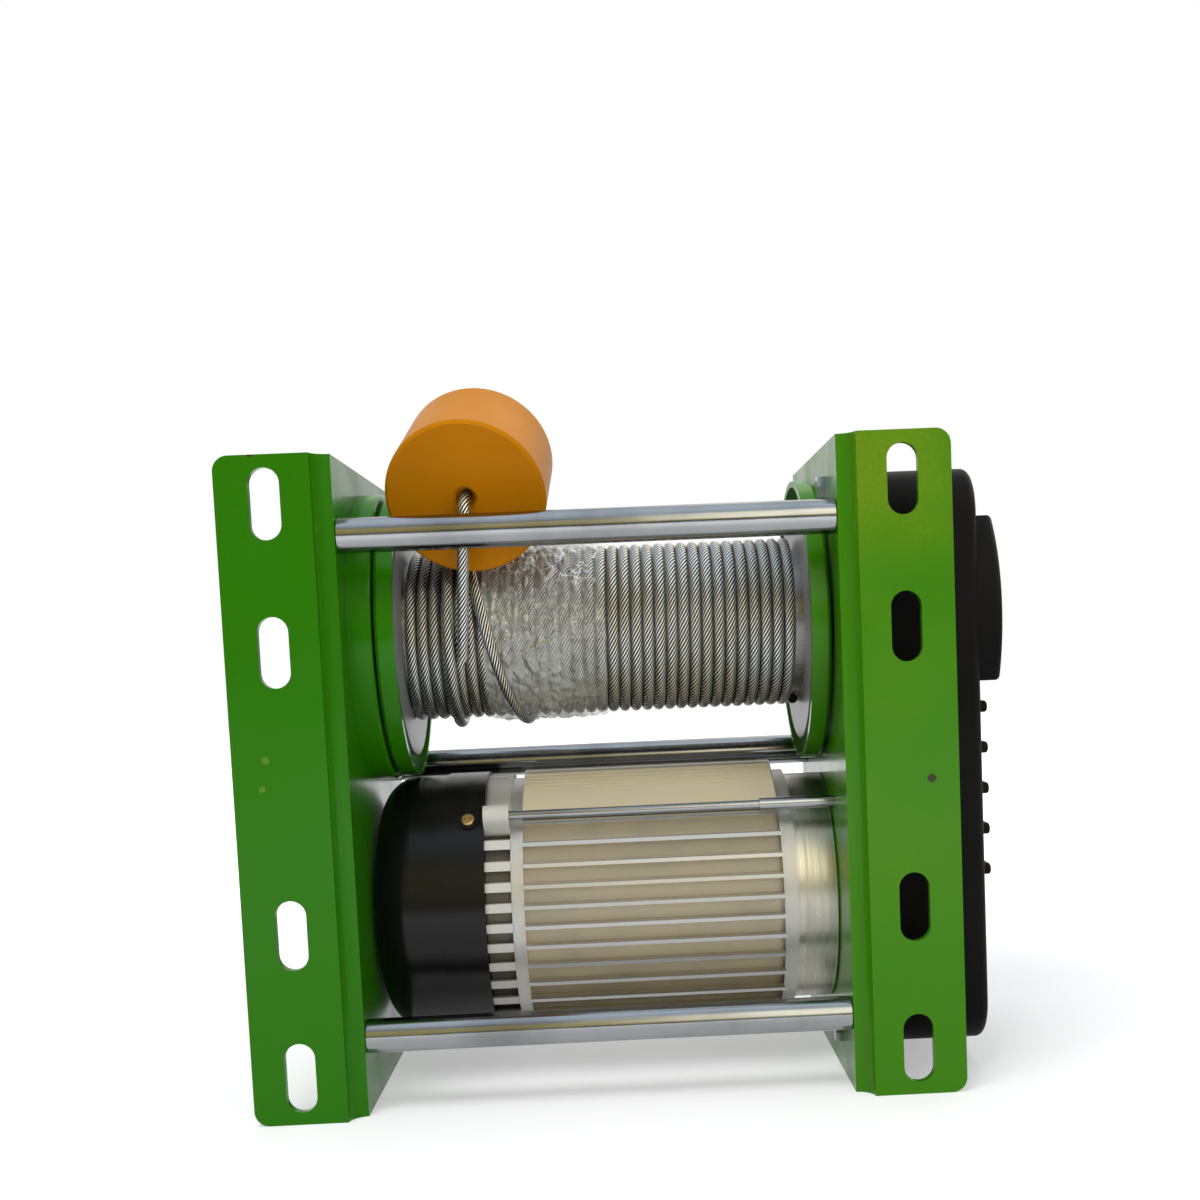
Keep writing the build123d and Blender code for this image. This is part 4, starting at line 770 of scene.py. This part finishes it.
@dataclass
class RopeLay:
    """Wire rope with ten outer strands, laid along any line.

    Attributes:
        finish: the rope's material.
        sample: length of one step along the rope.
        corners: points round the rope's section.
        groove: depth between strands, as a share of the rope's radius.
        coil_steps: steps in each turn round a barrel.
    """

    finish: bpy.types.Material
    diameter: float = 5.7 * MM
    lay_length: float = 26.0 * MM
    sample: float = 1.9 * MM
    strands: int = 10
    corners: int = 40
    groove: float = 0.17
    coil_steps: int = 96

    def _cover(self, sheet: PathSheet, line: Socket, laid: float = 0.0) -> Socket:
        """Adds the strands round a line.

        Args:
            sheet: the tree.
            line: the socket of the line.
            laid: length of rope that lies before this line, so that the strands run on.

        Returns:
            The socket of the rope's mesh.
        """
        lay = sheet.size("Lay Length", self.lay_length)
        radius = sheet.size("Rope Radius", self.diameter / 2)
        step = sheet.size("Sample", self.sample)
        even = sheet.node("GeometryNodeResampleCurve", {"Curve": line, "Length": step}, mode="LENGTH")
        along = sheet.node("GeometryNodeSplineParameter").outputs["Length"]
        whole = sheet.math("ADD", along, sheet.size("Laid Before", laid))
        turn = sheet.product(sheet.math("DIVIDE", whole, lay), FULL_TURN)
        tilted = sheet.node("GeometryNodeSetCurveTilt", {"Curve": even.outputs[0], "Tilt": turn})
        kept = sheet.node("GeometryNodeCaptureAttribute", {"Geometry": tilted.outputs[0]})
        kept.capture_items.new("FLOAT", "along")
        sheet.link(whole, kept.inputs["along"])
        ring = sheet.node("GeometryNodeCurvePrimitiveCircle", {"Resolution": self.corners, "Radius": radius})
        index = sheet.node("GeometryNodeInputIndex").outputs[0]
        share = sheet.math("DIVIDE", index, float(self.corners))
        wave = sheet.math("ABSOLUTE", sheet.math("SINE", sheet.product(share, math.pi * self.strands)))
        dip = sheet.math("SUBTRACT", 1.0, wave)
        scale = sheet.math("SUBTRACT", 1.0, sheet.product(dip, self.groove))
        spot = sheet.node("GeometryNodeInputPosition").outputs[0]
        drawn = sheet.node("ShaderNodeVectorMath", {0: spot, "Scale": scale}, operation="SCALE").outputs[0]
        lobed = sheet.node("GeometryNodeSetPosition", {"Geometry": ring.outputs[0], "Position": drawn})
        shaped = sheet.node("GeometryNodeCaptureAttribute", {"Geometry": lobed.outputs[0]})
        shaped.capture_items.new("FLOAT", "around")
        shaped.capture_items.new("FLOAT", "groove")
        sheet.link(share, shaped.inputs["around"])
        sheet.link(dip, shaped.inputs["groove"])
        tube = sheet.node(
            "GeometryNodeCurveToMesh",
            {"Curve": kept.outputs[0], "Profile Curve": shaped.outputs[0], "Fill Caps": True},
        ).outputs[0]
        for name, holder in (("along", kept), ("around", shaped), ("groove", shaped)):
            tube = sheet.node(
                "GeometryNodeStoreNamedAttribute",
                {"Geometry": tube, "Name": name, "Value": holder.outputs[name]},
                data_type="FLOAT",
                domain="POINT",
            ).outputs[0]
        return tube

    def along(self, name: str, points: list[Vector]) -> bpy.types.Object:
        """Rope along points.

        Args:
            name: the piece's name.
            points: places in metres.

        Returns:
            The rope.
        """
        sheet = PathSheet(name + "_lay")
        line = sheet.node("GeometryNodeMeshToCurve", {"Mesh": sheet.entry.outputs[0]})
        sheet.close(self._cover(sheet, line.outputs[0]), self.finish)
        return sheet.bake(name, line_mesh(name, points))

    def wound(
        self, name: str, start: Vector, radius: float, length: float, turns: float, laid: float
    ) -> bpy.types.Object:
        """Rope wound round a barrel along X.

        Args:
            name: the piece's name.
            start: centre of the first turn.
            radius: radius of the rope's centre line.
            length: length of the wound bay.
            turns: number of turns.
            laid: length of rope on the turns before these.

        Returns:
            The rope.
        """
        sheet = PathSheet(name + "_coil")
        coil = sheet.node(
            "GeometryNodeCurveSpiral",
            {
                "Resolution": self.coil_steps,
                "Rotations": sheet.size("Turns", turns),
                "Start Radius": sheet.size("Coil Radius", radius),
                "End Radius": sheet.entry.outputs["Coil Radius"],
                "Height": sheet.size("Coil Length", length),
            },
        )
        radial = sheet.node("GeometryNodeSetCurveNormal", {"Curve": coil.outputs[0]}, mode="Z_UP")
        rope = self._cover(sheet, radial.outputs[0], laid)
        turned = sheet.node(
            "GeometryNodeTransform",
            {"Geometry": rope, "Translation": start, "Rotation": (0.0, math.pi / 2, 0.0)},
        )
        sheet.close(turned.outputs[0], self.finish)
        return sheet.bake(name, empty_mesh(name))


@dataclass
class RopeDrum:
    """The drum with its wound rope, the turn that lies on top, the crossing rope and the film.

    Lengths are in millimetres.

    Attributes:
        layer: radius of the first layer's centre line.
        lengths: number of pieces that the first layer is split into.
        upper: radius of the second layer's centre line.
        upper_after: number of turns before the one that lies on top.
        film_grain: steps of the folds' noise per millimetre along the drum, and round it.
        flat_end: share of the folds' height that is left at the film's ends.
        end_share: share of the film's length over which the folds rise.
    """

    finishes: Finishes
    bay_start: float = -93.0
    bay_end: float = 103.4
    turns: int = 34
    layer: float = 39.65
    lengths: int = 3
    upper: float = 45.25
    upper_after: int = 4
    upper_sink: float = 0.8
    upper_step: int = 6
    crossing_end: float = 41.5
    crossing_ramp: float = 44.8
    film_ends: Span = (-53.5, 5.5)
    film_rows: int = 96
    film_columns: int = 260
    film_radius: float = 43.3
    film_fold: float = 2.4
    film_sway: float = 1.2
    film_grain: Span = (0.09, 2.6)
    fold_scale: float = 1.7
    fold_layers: tuple[float, float, int] = (0.9, 2.1, 4)
    sway_scale: float = 2.3
    flat_end: float = 0.35
    end_share: float = 0.25

    def around(self, x: float, radius: float, angle: float) -> Vector:
        """Point about the drum's axis, in metres, from an angle in degrees."""
        turn = math.radians(angle)
        depth = DRUM_AXIS[0] + radius * math.cos(turn)
        return place(x, depth, DRUM_AXIS[1] + radius * math.sin(turn))

    def rope(self) -> None:
        """Winds the rope on the barrel and lays the second layer's turn."""
        lay = RopeLay(self.finishes.rope)
        pitch = (self.bay_end - self.bay_start) / self.turns
        share = (self.turns - 1) // self.lengths
        run = math.hypot(FULL_TURN * self.layer, pitch) * share * MM
        for part in range(self.lengths):
            first = place(self.bay_start + pitch / 2 + pitch * share * part, *DRUM_AXIS)
            coil = lay.wound(
                f"wound_rope_{part + 1}", first, self.layer * MM, pitch * share * MM, share, run * part
            )
            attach(coil, Body.DRUM.value)
            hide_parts("rope_winding")
        ring_x = self.bay_start + self.upper_after * pitch
        angles = range(0, 361, self.upper_step)
        ring = [self.around(ring_x, self.upper - self.upper_sink, angle) for angle in angles]
        upper = lay.along("second_layer_turn", ring)
        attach(upper, Body.DRUM.value)
        log.info("wound rope on the drum")

    def crossing(self) -> None:
        """Lays the rope that crosses from the second layer's turn towards the film."""
        stations = [
            (-66.5, self.crossing_end, 62),
            (-65.0, self.crossing_ramp, 78),
            (-63.5, self.upper, 96),
            (-61.0, self.upper, 122),
            (-57.0, self.upper, 150),
            (-52.0, self.upper, 178),
            (-46.5, self.upper, 206),
            (-41.0, self.upper, 234),
            (-36.5, self.upper, 262),
            (-34.0, self.crossing_ramp, 286),
            (-33.0, self.crossing_end, 304),
        ]
        route = smooth_route("crossing_route", [self.around(*station) for station in stations])
        rope = RopeLay(self.finishes.rope).along("crossing_rope", route)
        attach(rope, Body.DRUM.value)
        log.info("laid the crossing rope")

    def film_point(self, row: int, column: int) -> Vector:
        """Point of the film's skin, pushed out by its folds, which die down at both ends.

        Args:
            row: number of the row from the film's left end.
            column: number of the column round the drum.

        Returns:
            The point in metres.
        """
        start, end = self.film_ends
        x = start + (end - start) * row / self.film_rows
        angle = 360.0 * column / self.film_columns
        turn = math.radians(angle)
        along, wrap = self.film_grain
        spot = Vector((x * along, math.cos(turn) * wrap, math.sin(turn) * wrap))
        fold = min(abs(noise.fractal(spot * self.fold_scale, *self.fold_layers)), 1.0)
        edge = min(row, self.film_rows - row) / self.film_rows / self.end_share
        lift = self.film_fold * fold * min(1.0, self.flat_end + edge)
        sway = self.film_sway * noise.noise(spot * self.sway_scale)
        return self.around(x + sway, self.film_radius + lift, angle)

    def film(self) -> None:
        """Wraps the creased film round the rope."""
        rows, columns = self.film_rows, self.film_columns
        points = [self.film_point(row, column) for row in range(rows + 1) for column in range(columns)]
        faces = []
        for row in range(rows):
            for column in range(columns):
                after = (column + 1) % columns
                low, high = row * columns, (row + 1) * columns
                faces.append((low + column, low + after, high + after, high + column))
        mesh = bpy.data.meshes.new("wrap_film")
        mesh.from_pydata(points, [], faces)
        mesh.materials.append(self.finishes.film)
        mesh.polygons.foreach_set("use_smooth", [True] * len(faces))
        piece = add("wrap_film", mesh)
        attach(piece, Body.DRUM.value)
        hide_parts("protective_film")
        log.info("wrapped the film")

    def build(self) -> None:
        """Builds what the drum carries."""
        self.rope()
        self.crossing()
        self.film()


@dataclass
class RopeTail:
    """The rope's free end, from the drum through the weight to its eye."""

    finishes: Finishes
    route: tuple[Triple, ...] = (
        (-63.84, 53.21, 56.91),
        (-57.04, 25.84, 128.91),
        (-52.04, 83.02, 159.43),
        (-50.04, 97.26, 166.44),
    )
    bends: Span = (9.1, 246.0)
    carried: tuple[str, ...] = (
        "rope_ferrule",
        "rope_eye",
        "rope_thimble",
        "limit_weight",
        "load_hook",
        "hook_latch",
        "latch_pin",
    )

    def build(self) -> None:
        """Lays the tail and hides the model's own tail."""
        points = [place(*point) for point in self.route]
        route = rounded_route(points, [bend * MM for bend in self.bends])
        rope = RopeLay(self.finishes.rope).along("rope_tail_strands", route)
        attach(rope, Body.FRAME.value)
        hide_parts("rope_tail")


@dataclass
class MotorPad:
    """Fine lengthwise ridges on the upper part of the motor's flat pad."""

    finishes: Finishes
    pad_angle: float = 117.0
    pad_face: float = 63.1
    start: float = -38.5
    end: float = 85.5
    first: float = 5.2
    pitch: float = 3.2
    ridges: int = 5
    width: float = 1.3
    height: float = 0.7

    def build(self) -> None:
        """Lays the ridges side by side and turns them onto the pad."""
        sheet = PathSheet("pad_ridge_row")
        pitch = sheet.size("Pitch", self.pitch * MM)
        across = sheet.node("ShaderNodeCombineXYZ", {"Y": pitch}).outputs[0]
        first = ((self.start + self.end) / 2 * MM, self.first * MM, self.pad_face * MM)
        spread = {"Count": self.ridges, "Start Location": first, "Offset": across}
        row = sheet.node("GeometryNodeMeshLine", spread).outputs[0]
        size = ((self.end - self.start) * MM, self.width * MM, self.height * MM)
        bar = sheet.node("GeometryNodeMeshCube", {"Size": size}).outputs[0]
        laid = sheet.node("GeometryNodeInstanceOnPoints", {"Points": row, "Instance": bar})
        tilt = math.radians(self.pad_angle) - math.pi / 2
        moves = {"Translation": place(0, *MOTOR_AXIS), "Rotation": (tilt, 0.0, 0.0)}
        turned = sheet.node("GeometryNodeTransform", {"Geometry": laid.outputs[0], **moves})
        sheet.close(turned.outputs[0], self.finishes.motor)
        ridges = sheet.bake("pad_ridges", empty_mesh("pad_ridges"))
        ridges.data.polygons.foreach_set("use_smooth", [False] * len(ridges.data.polygons))
        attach(ridges, Body.FRAME.value)
        log.info("laid %d ridges on the motor's pad", self.ridges)


class Dressing:
    """Finishes of the frame's own nodes."""

    def __init__(self, finishes: Finishes) -> None:
        """Lists which finish each node wears.

        Args:
            finishes: the hoist's materials.
        """
        self.table: dict[str, bpy.types.Material] = {
            "plate_green": finishes.paint,
            "zinc_steel": finishes.zinc,
            "turned_steel": finishes.turned,
            "bearing_steel": finishes.bearing,
            "grey_cheek": finishes.cheek,
            "wire_rope": finishes.rope,
            "clear_film": finishes.film,
            "cast_black": finishes.cast_black,
            "black_screw": finishes.black_screw,
            "gasket": finishes.gasket,
            "motor_silver": finishes.motor,
            "bare_aluminium": finishes.aluminium,
            "shield_cream": finishes.shield,
            "lamination": finishes.lamination,
            "copper": finishes.copper,
            "fan_plastic": finishes.fan,
            "brake_lining": finishes.lining,
            "cowl_black": finishes.cowl,
            "brass_screw": finishes.brass,
            "weight_orange": finishes.orange,
            "hook_steel": finishes.hook,
        }

    def build(self) -> None:
        """Gives every node its finish."""
        for part in frame["record"]["subparts"]:
            piece = frame["nodes"][part["node"]]
            piece.data.materials.clear()
            piece.data.materials.append(self.table[part["material_slot"]])
            log.info("dressed %s", part["node"])


@dataclass(frozen=True)
class Lamp:
    """A square lamp that polished surfaces don't mirror."""

    name: str
    spot: Triple
    size: float
    power: float

    def hang(self, aim: Vector) -> None:
        """Hangs the lamp, turned to a point.

        Args:
            aim: the point, in metres.
        """
        data = bpy.data.lights.new(self.name, "AREA")
        data.size = self.size
        data.energy = self.power
        lamp = add(self.name, data)
        lamp.visible_glossy = False
        lamp.location = self.spot
        lamp.rotation_euler = (aim - Vector(self.spot)).to_track_quat("-Z", "Y").to_euler()


@dataclass
class Studio:
    """Pale floor, the room that polished pieces mirror, lamps and the camera."""

    camera_spot: Triple = (-0.003675, -0.762986, 0.211172)
    camera_turn: Triple = (85.223, 2.444, -1.584)
    lens: float = 45.0
    sensor: float = 36.0
    shift: Span = (-0.0488, 0.1443)
    floor_half: float = 4.0
    floor_colour: float = 0.74
    floor_glow: Span = (0.39, 1.0)
    floor_fade: Span = (0.30, 0.85)
    white: Colour = (1.0, 1.0, 1.0)
    ambient: Colour = (0.95, 0.97, 1.0)
    ambient_strength: float = 0.5
    room_bands: tuple[tuple[float, Colour], ...] = (
        (0.0, (0.30, 0.30, 0.30)),
        (0.50, (0.10, 0.10, 0.10)),
        (0.62, (0.66, 0.55, 0.20)),
        (0.77, (0.74, 0.63, 0.27)),
        (0.85, (0.40, 0.42, 0.42)),
        (0.92, (0.80, 0.92, 1.05)),
        (1.0, (1.05, 1.18, 1.32)),
    )
    window_rows: tuple[Span, ...] = (
        (0.0, 0.0),
        (0.56, 0.0),
        (0.66, 1.0),
        (0.84, 1.0),
        (0.93, 0.0),
        (1.0, 0.0),
    )
    window_edge: Span = (-0.02, 0.09)
    window_light: Colour = (2.8, 2.65, 2.1)
    backdrop_edge: Span = (0.92, 0.45)
    middle: Triple = (0.0, 0.0, 0.15)
    lamps: tuple[Lamp, ...] = (
        Lamp("key_lamp", (-0.5, -0.9, 1.9), 0.9, 18.0),
        Lamp("fill_lamp", (0.7, -1.5, 0.25), 1.0, 8.0),
        Lamp("top_lamp", (0.1, 0.4, 1.8), 1.0, 7.0),
    )

    def camera(self) -> None:
        """Sets the camera where the photograph was taken from."""
        data = bpy.data.cameras.new("camera")
        data.lens = self.lens
        data.sensor_width = self.sensor
        data.shift_x, data.shift_y = self.shift
        data.clip_start = 0.01
        camera = add("camera", data)
        camera.location = self.camera_spot
        camera.rotation_euler = [math.radians(angle) for angle in self.camera_turn]
        bpy.context.scene.camera = camera

    def floor(self) -> None:
        """Lays the floor, grey with the hoist's shadow near it and white further out."""
        half = self.floor_half
        mesh = bpy.data.meshes.new("floor")
        corners = [(-half, -half, 0), (half, -half, 0), (half, half, 0), (-half, half, 0)]
        mesh.from_pydata(corners, [], [(0, 1, 2, 3)])
        material = bpy.data.materials.new("floor_white")
        material.use_nodes = True
        sheet = NodeSheet(material.node_tree)
        matt = sheet.node("ShaderNodeBsdfDiffuse", {"Color": (*(self.floor_colour,) * 3, 1)})
        spot = sheet.node("ShaderNodeTexCoord").outputs["Object"]
        reach = sheet.node("ShaderNodeVectorMath", {0: spot}, operation="LENGTH").outputs["Value"]
        fade = sheet.ramp(reach, *self.floor_fade, *self.floor_glow)
        path = sheet.node("ShaderNodeLightPath").outputs
        clear = sheet.math("MAXIMUM", path["Is Camera Ray"], path["Is Transmission Ray"])
        shown = sheet.math("MAXIMUM", clear, path["Is Glossy Ray"])
        glow = sheet.node("ShaderNodeEmission", {"Strength": sheet.product(shown, fade)})
        both = sheet.node("ShaderNodeAddShader", {0: matt.outputs[0], 1: glow.outputs[0]})
        sheet.node("ShaderNodeOutputMaterial", {"Surface": both.outputs[0]})
        mesh.materials.append(material)
        floor = add("floor", mesh)

    def room(self, sheet: NodeSheet) -> Socket:
        """What polished pieces mirror: white at the back, bands and a window in front.

        Args:
            sheet: the world's node tree.

        Returns:
            The colour's socket.
        """
        direction = sheet.node("ShaderNodeTexCoord").outputs["Generated"]
        across, back, up = sheet.node("ShaderNodeSeparateXYZ", {0: direction}).outputs
        level = sheet.ramp(up, -1.0, 1.0, kind="LINEAR")
        rows = sheet.bands(level, tuple((spot, (lit, lit, lit)) for spot, lit in self.window_rows))
        window = sheet.product(sheet.ramp(across, *self.window_edge), rows)
        walls = sheet.mix(window, sheet.bands(level, self.room_bands), self.window_light)
        return sheet.mix(sheet.ramp(back, *self.backdrop_edge), self.white, walls)

    def sky(self) -> None:
        """White background, a softer light on matt surfaces, and the room for polished ones."""
        world = bpy.data.worlds.new("studio")
        world.use_nodes = True
        sheet = NodeSheet(world.node_tree)
        soft = {"Color": (*self.ambient, 1), "Strength": self.ambient_strength}
        ambient, mirrored, shown = (
            sheet.node("ShaderNodeBackground", looks).outputs[0]
            for looks in (soft, {"Color": self.room(sheet)}, {"Color": (*self.white, 1)})
        )
        path = sheet.node("ShaderNodeLightPath").outputs
        seen = sheet.math("MAXIMUM", path["Is Camera Ray"], path["Is Transmission Ray"])
        polished = sheet.node("ShaderNodeMixShader", {0: path["Is Glossy Ray"], 1: ambient, 2: mirrored})
        final = sheet.node("ShaderNodeMixShader", {0: seen, 1: polished.outputs[0], 2: shown})
        sheet.node("ShaderNodeOutputWorld", {"Surface": final.outputs[0]})
        bpy.context.scene.world = world

    def build(self) -> None:
        """Builds the studio."""
        self.camera()
        self.floor()
        self.sky()
        for lamp in self.lamps:
            lamp.hang(Vector(self.middle))
        bpy.context.scene.view_settings.view_transform = "Standard"
        log.info("studio ready")


def main() -> None:
    """Builds the hoist's looks round its frame."""
    logging.basicConfig(level=logging.INFO, format="%(name)s: %(message)s")
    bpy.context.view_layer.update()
    finishes = Finishes()
    Dressing(finishes).build()
    RopeDrum(finishes).build()
    RopeTail(finishes).build()
    MotorPad(finishes).build()
    Studio().build()


if __name__ == "__main__":
    main()
